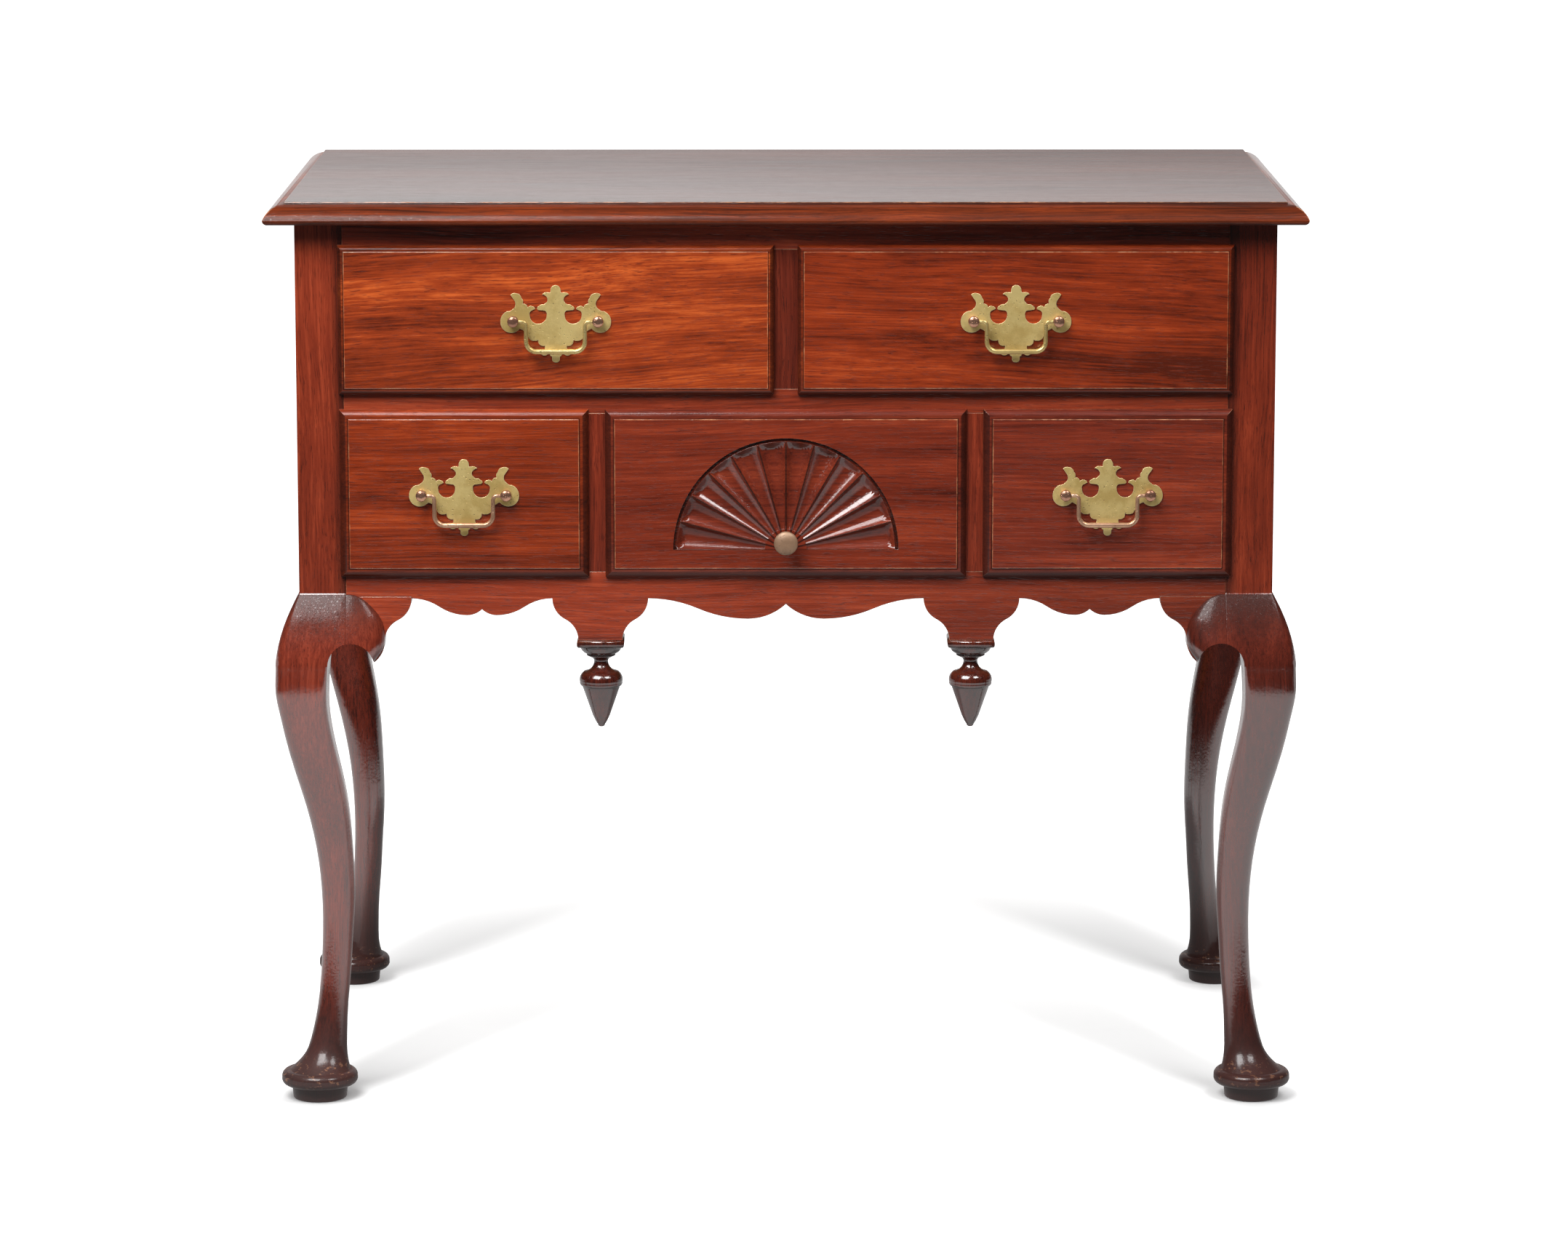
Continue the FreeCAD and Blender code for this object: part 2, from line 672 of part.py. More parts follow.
def section(height, outer, inner, rounds):
    """One cross section of a leg: a square with its four corners rounded."""
    half = (inner - outer) / 2
    outer_round, side_round, inner_round = [S.post_size.value * share for share in rounds]
    corners = [
        (outer, outer, outer_round, 225),
        (inner, outer, side_round, 315),
        (inner, inner, inner_round, 45),
        (outer, inner, side_round, 135),
    ]
    points = []
    for across, along, bend, facing in corners:
        centre = Vector(
            across + math.copysign(bend, outer + half - across),
            along + math.copysign(bend, outer + half - along),
            height,
        )
        arms = [math.radians(facing + turn) for turn in (-45, 0, 45)]
        points.append([centre + Vector(math.cos(arm), math.sin(arm), 0) * bend for arm in arms])
    edges = []
    for index, (start, middle, end) in enumerate(points):
        edges.append(Part.Arc(start, middle, end).toShape())
        edges.append(Part.LineSegment(end, points[(index + 1) % len(points)][0]).toShape())
    return Part.Wire(edges)


def loft_of(stations):
    """A stretch of a leg through its cross sections, from the lowest up."""
    post = S.post_size.value
    sections = []
    for height, outer, inner, *rounds in reversed(stations):
        sections.append(section(height, post * outer, post * inner, rounds))
    return Part.makeLoft(sections, True, False)


def knee_loft():
    """The knee, from below the arch up to the post."""
    knee_line = S.leg_height.value
    return loft_of([(knee_line - S.knee_drop.value * down, *faces) for down, *faces in knee_shares])


def leg_loft():
    """The leg, from inside its foot up to the arch."""
    low = S.leg_start.value
    tall = S.arch_foot.value - low
    return loft_of([(low + tall * up, *faces) for up, *faces in leg_shares])


def foot_shape():
    """The turned pad foot with the shoe under it."""
    corners = []
    for across, along, bend in foot_shares:
        corners.append((S.foot_radius * across, S.foot_height * along, bend))
    edges = [flat_edge(corner, after) for corner, after in zip(corners, corners[1:] + corners[:1])]
    half = Part.Face(Part.Wire(edges))
    foot = half.revolve(Vector(0, 0, 0), Vector(0, 0, 1), 360)
    foot.translate(Vector(S.foot_inset.value, S.foot_inset.value, 0))
    return foot


def flat_edge(corner, after):
    """One edge of an upright outline: a line, or an arc where the corner has a bend."""
    start = Vector(corner[0].value, corner[1].value, 0)
    end = Vector(after[0].value, after[1].value, 0)
    points = [start, end]
    if corner[2] is not None:
        radius = bend_radius(corner, after).value
        left = turns_left(corner[2])
        centre = arc_centre(start, end, radius, left)
        outwards = (start + end) * 0.5 - centre
        points.insert(1, centre + outwards.normalize() * radius)
    upright = [Vector(point.x, 0, point.y) for point in points]
    if len(upright) == 2:
        return Part.LineSegment(*upright).toShape()
    return Part.Arc(*upright).toShape()


def leg_shape():
    """Post, knee, leg and foot in one piece, at the front left corner of the case."""
    post = S.post_size.value
    knee_line = S.leg_height.value
    arch_foot = S.arch_foot.value
    past = S.overrun.value
    radius = S.arch_radius.value
    post_box = Part.makeBox(post, post, S.case_top.value - knee_line, Vector(0, 0, knee_line))
    knee = knee_loft()
    span = 2 * post + 2 * past
    below = Part.makeBox(span, span, knee_line, Vector(-post - past, -post - past, arch_foot - knee_line))
    centre = post + S.arch_offset.value
    across = Part.makeCylinder(radius, span, Vector(centre, -post - past, arch_foot), Vector(0, 1, 0))
    along = Part.makeCylinder(radius, span, Vector(-post - past, centre, arch_foot), Vector(1, 0, 0))
    knee = knee.cut(below).cut(across).cut(along)
    whole = post_box.fuse([knee, leg_loft(), foot_shape()]).removeSplitter()
    whole.translate(Vector(-S.half_case.value, S.front.value, 0))
    return whole.Solids[0] if len(whole.Solids) == 1 else whole


front_left = drawn("front_left_blank", leg_shape())
rear_left = mirror("rear_left_blank", front_left, (0, 1, 0), ZERO, S.middle)
front_right = mirror("front_right_blank", front_left, (1, 0, 0))
rear_right = mirror("rear_right_blank", rear_left, (1, 0, 0))
front_mortises = [top_tenon, middle_tenon, apron_tenon]
keep(cut("front_left_leg_cut", front_left, front_mortises + [left_tongue]), "front_left_leg")
keep(cut("front_right_leg_cut", front_right, front_mortises + [right_tongue]), "front_right_leg")
keep(cut("rear_left_leg_cut", rear_left, [back_tongue, left_tongue]), "rear_left_leg")
keep(cut("rear_right_leg_cut", rear_right, [back_tongue, right_tongue]), "rear_right_leg")


def knee_block_shape():
    """Rounded block beside a knee: quarter ellipses that die away from the leg, cut by the arch."""
    sections = []
    for down, reach, deep in block_shares:
        height = S.leg_height.value - down * S.knee_drop.value
        wide = reach * S.bracket_waist.value
        depth = deep * S.post_size.value
        corner = Vector(0, 0, height)
        outer = Vector(wide, 0, height)
        proud = Vector(0, -depth, height)
        curve = Part.BSplineCurve()
        quarter = [
            Vector(wide * math.sin(turn), -depth * math.cos(turn), height)
            for turn in (math.pi * step / 16 for step in range(9))
        ]
        curve.interpolate(quarter)
        sections.append(
            Part.Wire([
                Part.LineSegment(corner, proud).toShape(),
                curve.toShape(),
                Part.LineSegment(outer, corner).toShape(),
            ])
        )
    whole = Part.makeLoft(sections, True, False)
    past = S.overrun.value
    deep = S.post_size.value + past
    arch_foot = S.arch_foot.value
    start = Vector(S.arch_offset.value, -deep, arch_foot)
    arch = Part.makeCylinder(S.arch_radius.value, deep + past, start, Vector(0, 1, 0))
    wide = S.bracket_end.value + 2 * past
    drop = S.knee_drop.value
    below = Part.makeBox(wide, deep + past, drop, Vector(-past, -deep, arch_foot - drop))
    whole = whole.cut(arch).cut(below)
    whole.translate(Vector(-S.inner.value, S.front.value, 0))
    return max(whole.Solids, key=lambda solid: solid.Volume)


block_front = keep(drawn("knee_block", knee_block_shape()), "front_left_knee_block_front")
block_side = mirror("knee_block_side", block_front, (1, -1, 0), -S.half_case, S.front)
keep(block_side, "front_left_knee_block_side")
keep(mirror("knee_block_right", block_front, (1, 0, 0)), "front_right_knee_block_front")
keep(mirror("knee_block_right_side", block_side, (1, 0, 0)), "front_right_knee_block_side")
block_rear = mirror("knee_block_rear", block_side, (0, 1, 0), ZERO, S.middle)
block_rear_right = mirror("knee_block_rear_right", block_rear, (1, 0, 0))
keep(group("knee_blocks_rear", [block_rear, block_rear_right]), "rear_knee_blocks")

# Front rails and uprights.
rail_x = (-S.inner, S.inner)
rail_y = (S.front, S.front + S.rail_depth)
top_rail = block("top_rail_board", rail_x, rail_y, (S.upper_ceiling, S.case_top))
keep(fuse("top_rail_shape", [top_rail, top_tenon]), "top_rail")
middle_rail = block("middle_rail_board", rail_x, rail_y, (S.lower_ceiling, S.upper_floor))
keep(fuse("middle_rail_shape", [middle_rail, middle_tenon]), "middle_rail")
upright_y = (S.front, S.front + S.divider_depth)
half_upright = (-S.half_upper_divider, S.half_upper_divider)
keep(block("upper_upright", half_upright, upright_y, (S.upper_floor, S.upper_ceiling)), "upper_divider")
lower_z = (S.lower_floor, S.lower_ceiling)
upright = block("lower_upright", (-S.outer_divider, -S.half_centre), upright_y, lower_z)
keep(upright, "lower_left_divider")
keep(mirror("lower_upright_right", upright, (1, 0, 0)), "lower_right_divider")


def ogee(start_x, start_z, run, drop, sideways):
    """Two corners of an ogee that leaves upright and arrives upright."""
    radius = (run * run + drop * drop) / (4 * run)
    middle = (start_x + sideways * run / 2, start_z - drop / 2)
    return [(start_x, start_z, radius * sideways), (*middle, -radius * sideways)]


def level_curve(start_x, start_z, run, drop):
    """Two corners of a curve that leaves level, drops, and arrives level."""
    radius = ease(run, drop)
    return [(start_x, start_z, -radius), (start_x + run / 2, start_z - drop / 2, radius)]


# Front apron: scallops with a cusp, and a drop above each pendant.
left_end = S.bracket_end - S.inner
trough = S.edge - S.scallop_drop
drop_left = -S.pendant_place - S.drop_half
flat_left = -S.pendant_place - S.drop_flat / 2
flat_right = S.drop_flat / 2 - S.pendant_place
drop_right = S.drop_half - S.pendant_place
cusp_bend = swept_arc(S.cusp_run, S.cusp_rise)
centre_trough = S.edge - S.centre_scallop_drop
centre_cusp = centre_trough + S.centre_cusp_rise
centre_bend = swept_arc(S.centre_cusp_run, S.centre_cusp_rise)
side_scallop = level_curve(left_end, S.edge, S.scallop_run, S.scallop_drop)
half_apron = [(-S.inner, S.lower_floor, None), (-S.inner, S.seam, None), (left_end, S.seam, None)]
half_apron += side_scallop
half_apron += [
    (left_end + S.scallop_run, trough, cusp_bend),
    (left_end + S.scallop_half, trough + S.cusp_rise, cusp_bend),
]
scallop_back = drop_left - S.scallop_run
half_apron += [
    (scallop_back, trough, ease(S.scallop_run, S.scallop_drop)),
    (scallop_back + S.scallop_run / 2, trough + S.scallop_drop / 2, -ease(S.scallop_run, S.scallop_drop)),
]
half_apron += ogee(drop_left, S.edge, S.drop_ogee_run, S.drop_height, 1)
rising = (S.drop_ogee_run * S.drop_ogee_run + S.drop_height * S.drop_height) / (4 * S.drop_ogee_run)
half_apron += [
    (flat_left, S.drop_bottom, None),
    (flat_right, S.drop_bottom, -rising),
    (flat_right + S.drop_ogee_run / 2, S.drop_bottom + S.drop_height / 2, rising),
]
half_apron += level_curve(drop_right, S.edge, S.centre_scallop_run, S.centre_scallop_drop)
half_apron += [(-S.centre_cusp_run, centre_trough, centre_bend), (ZERO, centre_cusp, None)]
apron_y = S.front + S.apron_thickness / 2
apron_board = padded("apron_board", "XZ_Plane", mirrored(half_apron), S.apron_thickness, None, apron_y)
bores = []
for side, sign in (("left", -1), ("right", 1)):
    bores.append(
        rod(
            f"{side}_dowel_bore",
            S.dowel_radius + S.shank_gap,
            S.dowel_length + S.shank_gap,
            sign * S.pendant_place,
            apron_y,
            S.drop_bottom,
            (0, 0, 1),
        )
    )
keep(cut("apron_shape", fuse("apron_with_tenon", [apron_board, apron_tenon]), bores), "front_apron")

# Flat brackets glued under the apron, behind the knee blocks.
waist_z = S.arch_foot + S.waist_rise
waist_bend = (S.waist_run * S.waist_run + S.waist_rise * S.waist_rise) / (2 * S.waist_run)
ogee_bend = (S.ogee_run * S.ogee_run + S.ogee_drop * S.ogee_drop) / (4 * S.ogee_run)


def bracket_corners(start):
    """Lower outline of a bracket that starts at a post: arch, tip, waist and ogee."""
    return [
        (start, S.arch_foot + S.arch_rise, -S.arch_radius),
        (start + S.bracket_tip, S.arch_foot, waist_bend),
        (start + S.bracket_waist, waist_z, -ogee_bend),
        (start + S.bracket_waist + S.ogee_run / 2, waist_z + S.ogee_drop / 2, ogee_bend),
        (start + S.bracket_end, S.edge, None),
    ]


bracket_outline = bracket_corners(-S.inner)
bracket_outline += [(left_end, S.seam, None), (-S.inner, S.seam, None)]
bracket = padded("bracket", "XZ_Plane", bracket_outline, S.apron_thickness, None, apron_y)
keep(group("brackets", [bracket, mirror("right_bracket", bracket, (1, 0, 0))]), "apron_brackets")

# Side panels: a bracket at each post and a scallop in the middle.
side_corner = -(S.centre_cusp_run + S.centre_scallop_run)
half_panel = [(-S.half_side, S.case_top, None)]
half_panel += bracket_corners(-S.half_side)
half_panel += level_curve(side_corner, S.edge, S.centre_scallop_run, S.centre_scallop_drop)
half_panel += [(-S.centre_cusp_run, centre_trough, centre_bend), (ZERO, centre_cusp, None)]
panel_x = S.side_thickness / 2 - S.half_case
left_board = padded("left_board", "YZ_Plane", mirrored(half_panel), S.side_thickness, panel_x, S.middle)
left_panel = keep(fuse("left_panel", [left_board, left_tongue]), "left_side_panel")
keep(mirror("right_panel", left_panel, (1, 0, 0)), "right_side_panel")
back_board = block("back_board", rail_x, (S.back_face, S.back), (S.seam, S.case_top))
keep(fuse("back_shape", [back_board, back_tongue]), "back_panel")

# Pendants: a square plate, the turning under it and a dowel up into the apron.
half_plate = S.pendant_plate / 2
pendant_y = S.front + S.pendant_inset
plate_low = S.drop_bottom - S.pendant_plate_thickness
for side, sign in (("left", -1), ("right", 1)):
    centre = sign * S.pendant_place
    plate = block(
        f"{side}_pendant_plate",
        (centre - half_plate, centre + half_plate),
        (pendant_y - half_plate, pendant_y + half_plate),
        (plate_low, S.drop_bottom),
    )
    turning = turned(
        f"{side}_turning",
        "XZ_Plane",
        pendant_shares,
        S.pendant_radius,
        S.pendant_length,
        centre,
        pendant_y,
        plate_low,
    )
    dowel = rod(
        f"{side}_dowel",
        S.dowel_radius,
        S.dowel_length + S.pendant_plate_thickness / 2,
        centre,
        apron_y,
        S.drop_bottom - S.pendant_plate_thickness / 2,
        (0, 0, 1),
    )
    keep(fuse(f"{side}_pendant_shape", [plate, turning, dowel]), f"{side}_pendant")

# Runners that the drawers slide on, with guides beside them, and kickers above the upper drawers.
side_runner_x = (-S.side_face, S.runner_lap - S.inner)
side_guide_x = (-S.side_face, -S.inner)
centre_lap = S.half_upper_divider + S.runner_lap
behind_rail = (S.front + S.rail_depth, S.rear_posts)
behind_rail_deep = (S.front + S.rail_depth, S.back_face)
behind_upright = (S.front + S.divider_depth, S.back_face)
upper_runner_z = (S.upper_floor - S.runner_thickness, S.upper_floor)
upper_guide_z = (S.upper_floor, S.upper_floor + S.guide_height)
kicker_z = (S.upper_ceiling, S.case_top)
upper_left = fuse(
    "upper_left_runner",
    [
        block("upper_left_strip", side_runner_x, behind_rail, upper_runner_z),
        block("upper_left_guide", side_guide_x, behind_rail, upper_guide_z),
    ],
)
upper_centre = fuse(
    "upper_centre_runner",
    [
        block("upper_centre_strip", (-centre_lap, centre_lap), behind_rail_deep, upper_runner_z),
        block("upper_centre_guide", half_upright, behind_rail_deep, upper_guide_z),
    ],
)
upper_right = mirror("upper_right_runner", upper_left, (1, 0, 0))
keep(group("upper_runner_set", [upper_left, upper_centre, upper_right]), "upper_runners")
kicker = block("left_kicker", side_runner_x, behind_rail, kicker_z)
centre_kicker = block("centre_kicker", (-centre_lap, centre_lap), behind_rail_deep, kicker_z)
right_kicker = mirror("right_kicker", kicker, (1, 0, 0))
keep(group("kicker_set", [kicker, centre_kicker, right_kicker]), "kickers")
lower_runner_z = (S.lower_floor - S.runner_thickness, S.lower_floor)
lower_guide_z = (S.lower_floor, S.lower_floor + S.guide_height)
between_posts = (S.front_posts, S.rear_posts)
behind_apron = (S.front + S.apron_thickness, S.back_face)
lower_left = fuse(
    "lower_left_runner",
    [
        block("lower_left_strip", side_runner_x, between_posts, lower_runner_z),
        block("lower_left_guide", side_guide_x, between_posts, lower_guide_z),
    ],
)
inner_runner_x = (-S.outer_divider - S.runner_lap, S.runner_lap - S.half_centre)
lower_inner = fuse(
    "lower_inner_runner",
    [
        block("lower_inner_strip", inner_runner_x, behind_apron, lower_runner_z),
        block("lower_inner_guide", (-S.outer_divider, -S.half_centre), behind_upright, lower_guide_z),
    ],
)
lower_right = mirror("lower_right_runner", lower_left, (1, 0, 0))
lower_inner_right = mirror("lower_inner_right_runner", lower_inner, (1, 0, 0))
keep(group("lower_runner_set", [lower_left, lower_inner, lower_right, lower_inner_right]), "lower_runners")

# Blocks glued under the top against the back panel.
glue_blocks = []
wedge = [(-S.glue_block_size, ZERO, None), (ZERO, -S.glue_block_size, None), (ZERO, ZERO, None)]
for index, share in enumerate(glue_block_shares):
    name = f"glue_block_{index}"
    where = (S.inner * share, S.back_face, S.case_top)
    glue_blocks.append(padded(name, "YZ_Plane", wedge, S.glue_block_length, *where))
keep(group("glue_block_set", glue_blocks), "glue_blocks")


def lip_outline(half, inner_half, lip):
    """Half outlines of a lipped drawer front seen along one of its edges, front face downwards."""
    shut = -S.lip_gap
    lip_bend = swept_arc(lip, S.lip_rise)
    field_half = half - lip
    field = -S.field
    return [
        (-field_half, field, None),
        (field_half, field, None),
        (field_half, field + S.lip_quirk, lip_bend),
        (half, shut - S.lip_edge, None),
        (half, shut, None),
        (inner_half, shut, None),
        (inner_half, S.front_inset, None),
        (-inner_half, S.front_inset, None),
        (-inner_half, shut, None),
        (-half, shut, None),
        (-half, shut - S.lip_edge, lip_bend),
        (-field_half, field + S.lip_quirk, None),
    ]


def upper_half(disc, radius, deep):
    """What stands above the fan's straight edge of a disc that is sunk into the field."""
    corner = Vector(-radius, S.field_face.value - S.overrun.value, S.fan_base.value)
    return disc.common(Part.makeBox(2 * radius, deep + S.overrun.value, radius, corner))


def half_disc(radius, deep):
    """Half a disc on the fan's straight edge, from in front of the field to a depth below it."""
    past = S.overrun.value
    centre = Vector(0, S.field_face.value - past, S.fan_base.value)
    disc = Part.makeCylinder(radius, deep + past, centre, Vector(0, 1, 0))
    return upper_half(disc, radius, deep)


def fan_recess():
    """The shallow half ring that brings the fan's ridges below the field."""
    deep = S.fan_recess.value
    return half_disc(S.fan_radius.value, deep).cut(half_disc(S.hub_radius.value, deep))


def fan_border():
    """The narrow half ring that is cut deeper round the fan."""
    deep = S.fan_border_depth.value
    return half_disc(S.fan_radius.value, deep).cut(half_disc(S.flute_end.value, deep))


def fan_flutes():
    """Tapering hollows, each a leaning cone with its point in the middle of the fan and a sloping end."""
    radius = S.flute_end.value
    ridge = S.fan_recess.value
    bowl_depth = 2 * S.flute_depth.value
    surface = Vector(0, S.field_face.value + ridge, S.fan_base.value)
    bowl = Part.makeCone(radius, radius - bowl_depth, bowl_depth, surface, Vector(0, 1, 0))
    deep = ridge + bowl_depth
    room = upper_half(bowl, radius, deep).cut(half_disc(S.hub_radius.value, deep))
    drop = math.atan(S.flute_depth.value / radius)
    spread = math.pi / flute_count / 2 * flute_width_share
    tilt = math.atan((math.cos(drop) - math.cos(spread)) / math.sin(drop))
    long = radius + S.overrun.value
    flutes = []
    for index in range(flute_count):
        turn = math.pi * (index + 0.5) / flute_count
        along = Vector(math.cos(turn) * math.cos(tilt), -math.sin(tilt), math.sin(turn) * math.cos(tilt))
        cone = Part.makeCone(0, long * math.tan(tilt + drop), long, surface, along)
        flutes.append(cone.common(room))
    return Part.makeCompound(flutes)


def drawer(label, middle, width, row, pull_height, carved=False):
    """One drawer: a lipped front dovetailed to two sides, a back in dados and a bottom in grooves."""
    floor, height, lip = row
    half = width / 2 + S.lip_overlap
    body_half = width / 2 - S.drawer_gap
    tall = height / 2 + S.lip_overlap
    body_tall = height / 2 - S.drawer_gap
    centre = floor + height / 2
    where = (middle, S.front, centre)
    across = padded(f"{label}_across", "XY_Plane", lip_outline(half, body_half, lip), 2 * tall, *where)
    upright_run = reverse_run(lip_outline(tall, body_tall, lip))
    upright = [(depth, rise, bend) for rise, depth, bend in upright_run]
    along = padded(f"{label}_along", "YZ_Plane", upright, 2 * half, *where)
    front = meet(f"{label}_front_blank", [across, along])
    low = floor + S.drawer_lift
    high = floor + height - S.drawer_headroom
    base = low + S.bottom_rise
    join = S.front + S.front_inset
    end = S.front + S.drawer_depth
    inside = body_half - S.drawer_side
    bottom = block(
        f"{label}_bottom_board",
        (middle - inside - S.groove_depth, middle + inside + S.groove_depth),
        (join - S.groove_depth, end),
        (base, base + S.drawer_bottom),
    )
    back_y = (end - S.back_inset - S.drawer_back, end - S.back_inset)
    back = block(
        f"{label}_back_board",
        (middle - inside - S.groove_depth, middle + inside + S.groove_depth),
        back_y,
        (base + S.drawer_bottom, high - S.back_step),
    )
    sides = []
    sockets = []
    pitch = (high - low) / tail_count
    for name, inner_face in (("left", -body_half), ("right", inside)):
        side_x = (middle + inner_face, middle + inner_face + S.drawer_side)
        board = block(f"{label}_{name}_board", side_x, (join, end), (low, high))
        tails = []
        for index in range(tail_count):
            tail = doc.addObject("Part::Wedge", f"{label}_{name}_tail_{index}")
            foot = low + pitch * (index + (1 - tail_share) / 2)
            top = foot + pitch * tail_share
            bounds = {
                "Xmin": ZERO,
                "Xmax": S.drawer_side,
                "X2min": ZERO,
                "X2max": S.drawer_side,
                "Ymin": ZERO,
                "Ymax": S.tail_length,
                "Zmin": -S.tail_flare,
                "Zmax": top - foot + S.tail_flare,
                "Z2min": ZERO,
                "Z2max": top - foot,
            }
            for key, bound in bounds.items():
                tail.setExpression(key, bound.text)
            tails.append(move(tail, side_x[0], join - S.tail_length, foot))
        sockets += tails
        blank = fuse(f"{label}_{name}_blank", [board] + tails)
        sides.append(cut(f"{label}_{name}_side", blank, [bottom, back]))
    tools = sockets + [bottom]
    bore_length = S.front_inset + S.field + 2 * S.overrun
    bore_radius = S.shank_radius + S.shank_gap
    bore_y = S.field_face - S.overrun
    bores = [middle] if carved else [middle - S.half_spacing, middle + S.half_spacing]
    for index, bore_x in enumerate(bores):
        where = (bore_x, bore_y, pull_height)
        tools.append(rod(f"{label}_bore_{index}", bore_radius, bore_length, *where, (0, 1, 0)))
    board = cut(f"{label}_front_shape", front, tools)
    if carved:
        carving = (("recess", fan_recess), ("border", fan_border), ("flutes", fan_flutes))
        for name, shape in carving:
            board = cut(f"{label}_front_{name}", board, [drawn(f"fan_{name}", shape())])
    keep(board, f"{label}_drawer_front")
    keep(group(f"{label}_side_pair", sides), f"{label}_drawer_sides")
    keep(back, f"{label}_drawer_back")
    keep(bottom, f"{label}_drawer_bottom")


def reverse_run(corners):
    """Run an outline the other way round, so that it stays anticlockwise once its axes are exchanged."""
    count = len(corners)
    turned_round = []
    for step in range(count):
        index = (count - step) % count
        before = corners[index - 1][2]
        turned_round.append((corners[index][0], corners[index][1], before))
    return turned_round


upper_row = (S.upper_floor, S.upper_opening_height, S.upper_lip)
lower_row = (S.lower_floor, S.lower_opening_height, S.lower_lip)
drawer("upper_left", -S.upper_place, S.upper_width, upper_row, S.upper_pull)
drawer("upper_right", S.upper_place, S.upper_width, upper_row, S.upper_pull)
drawer("lower_left", -S.lower_place, S.lower_width, lower_row, S.lower_pull)
drawer("lower_centre", ZERO, S.centre_opening_width, lower_row, S.knob_height, carved=True)
drawer("lower_right", S.lower_place, S.lower_width, lower_row, S.lower_pull)


def nut(name, x, z):
    """Square nut behind a drawer front."""
    half = S.nut_size / 2
    face = S.front + S.front_inset
    nut_y = (face, face + S.nut_thickness)
    blank = block(name + "_blank", (x - half, x + half), nut_y, (z - half, z + half))
    bore_length = S.nut_thickness + 2 * S.overrun
    bore = rod(name + "_bore", S.shank_radius + S.nut_gap, bore_length, x, face - S.overrun, z, (0, 1, 0))
    return cut(name, blank, [bore])


shank_length = S.field + S.front_inset + S.nut_thickness + S.nut_thickness / 2
knob_foot = (ZERO, S.field_face, S.knob_height)
knob_turning = turned("knob_turning", "XY_Plane", knob_shares, S.knob_radius, S.knob_projection, *knob_foot)
knob_shank = rod("knob_shank", S.shank_radius, shank_length, *knob_foot, (0, 1, 0))
knob_shape = fuse("knob_shape", [knob_turning, knob_shank])
keep(group("knob_set", [knob_shape, nut("knob_nut", ZERO, S.knob_height)]), "centre_knob")


def plate_shape():
    """Batwing backplate: the left half outline carried over to the right, cut from sheet."""
    half = S.plate_width / 2
    left = []
    for across, up, bend in plate_shares:
        left.append((half * across, (S.plate_above if up > 0 else S.plate_below) * up, bend))
    corners = mirrored(left)
    edges = [flat_edge(corner, after) for corner, after in zip(corners, corners[1:] + corners[:1])]
    sheet = Part.Face(Part.Wire(edges)).extrude(Vector(0, -S.plate_thickness.value, 0))
    past = S.overrun.value
    bore = S.shank_radius.value + S.shank_gap.value
    through = S.plate_thickness.value + 2 * past
    for sign in (-1, 1):
        start = Vector(sign * S.half_spacing.value, -S.plate_thickness.value - past, 0)
        sheet = sheet.cut(Part.makeCylinder(bore, through, start, Vector(0, 1, 0)))
    return sheet


def bail_shape():
    """Bail: a wire from one post down, along and up to the other post."""
    end = S.half_spacing.value - S.head_radius.value + S.pin_depth.value - S.pin_end_gap.value
    arm = S.bail_half_width.value
    low = -S.bail_drop.value
    bend = S.shoulder_radius.value
    corner = S.corner_radius.value
    # Halfway round a bend, a quarter circle stands this share of its radius short of the square corner.
    short_share = 1 - math.sqrt(0.5)
    short_bend = bend * short_share
    short_corner = corner * short_share
    left_runs = [
        [(-end, 0), (-arm - bend, 0)],
        [(-arm - bend, 0), (-arm - short_bend, -short_bend), (-arm, -bend)],
        [(-arm, -bend), (-arm, low + corner)],
        [(-arm, low + corner), (-arm + short_corner, low + short_corner), (-arm + corner, low)],
    ]
    bar = [[(-arm + corner, low), (arm - corner, low)]]
    right_runs = [[(-across, up) for across, up in reversed(run)] for run in reversed(left_runs)]
    path = []
    for run in left_runs + bar + right_runs:
        points = [Vector(across, 0, up) for across, up in run]
        curve = Part.LineSegment(*points) if len(points) == 2 else Part.Arc(*points)
        path.append(curve.toShape())
    ring = Part.Wire(Part.makeCircle(S.wire_radius.value, Vector(-end, 0, 0), Vector(1, 0, 0)))
    return Part.Wire(path).makePipeShell([ring], True, False)


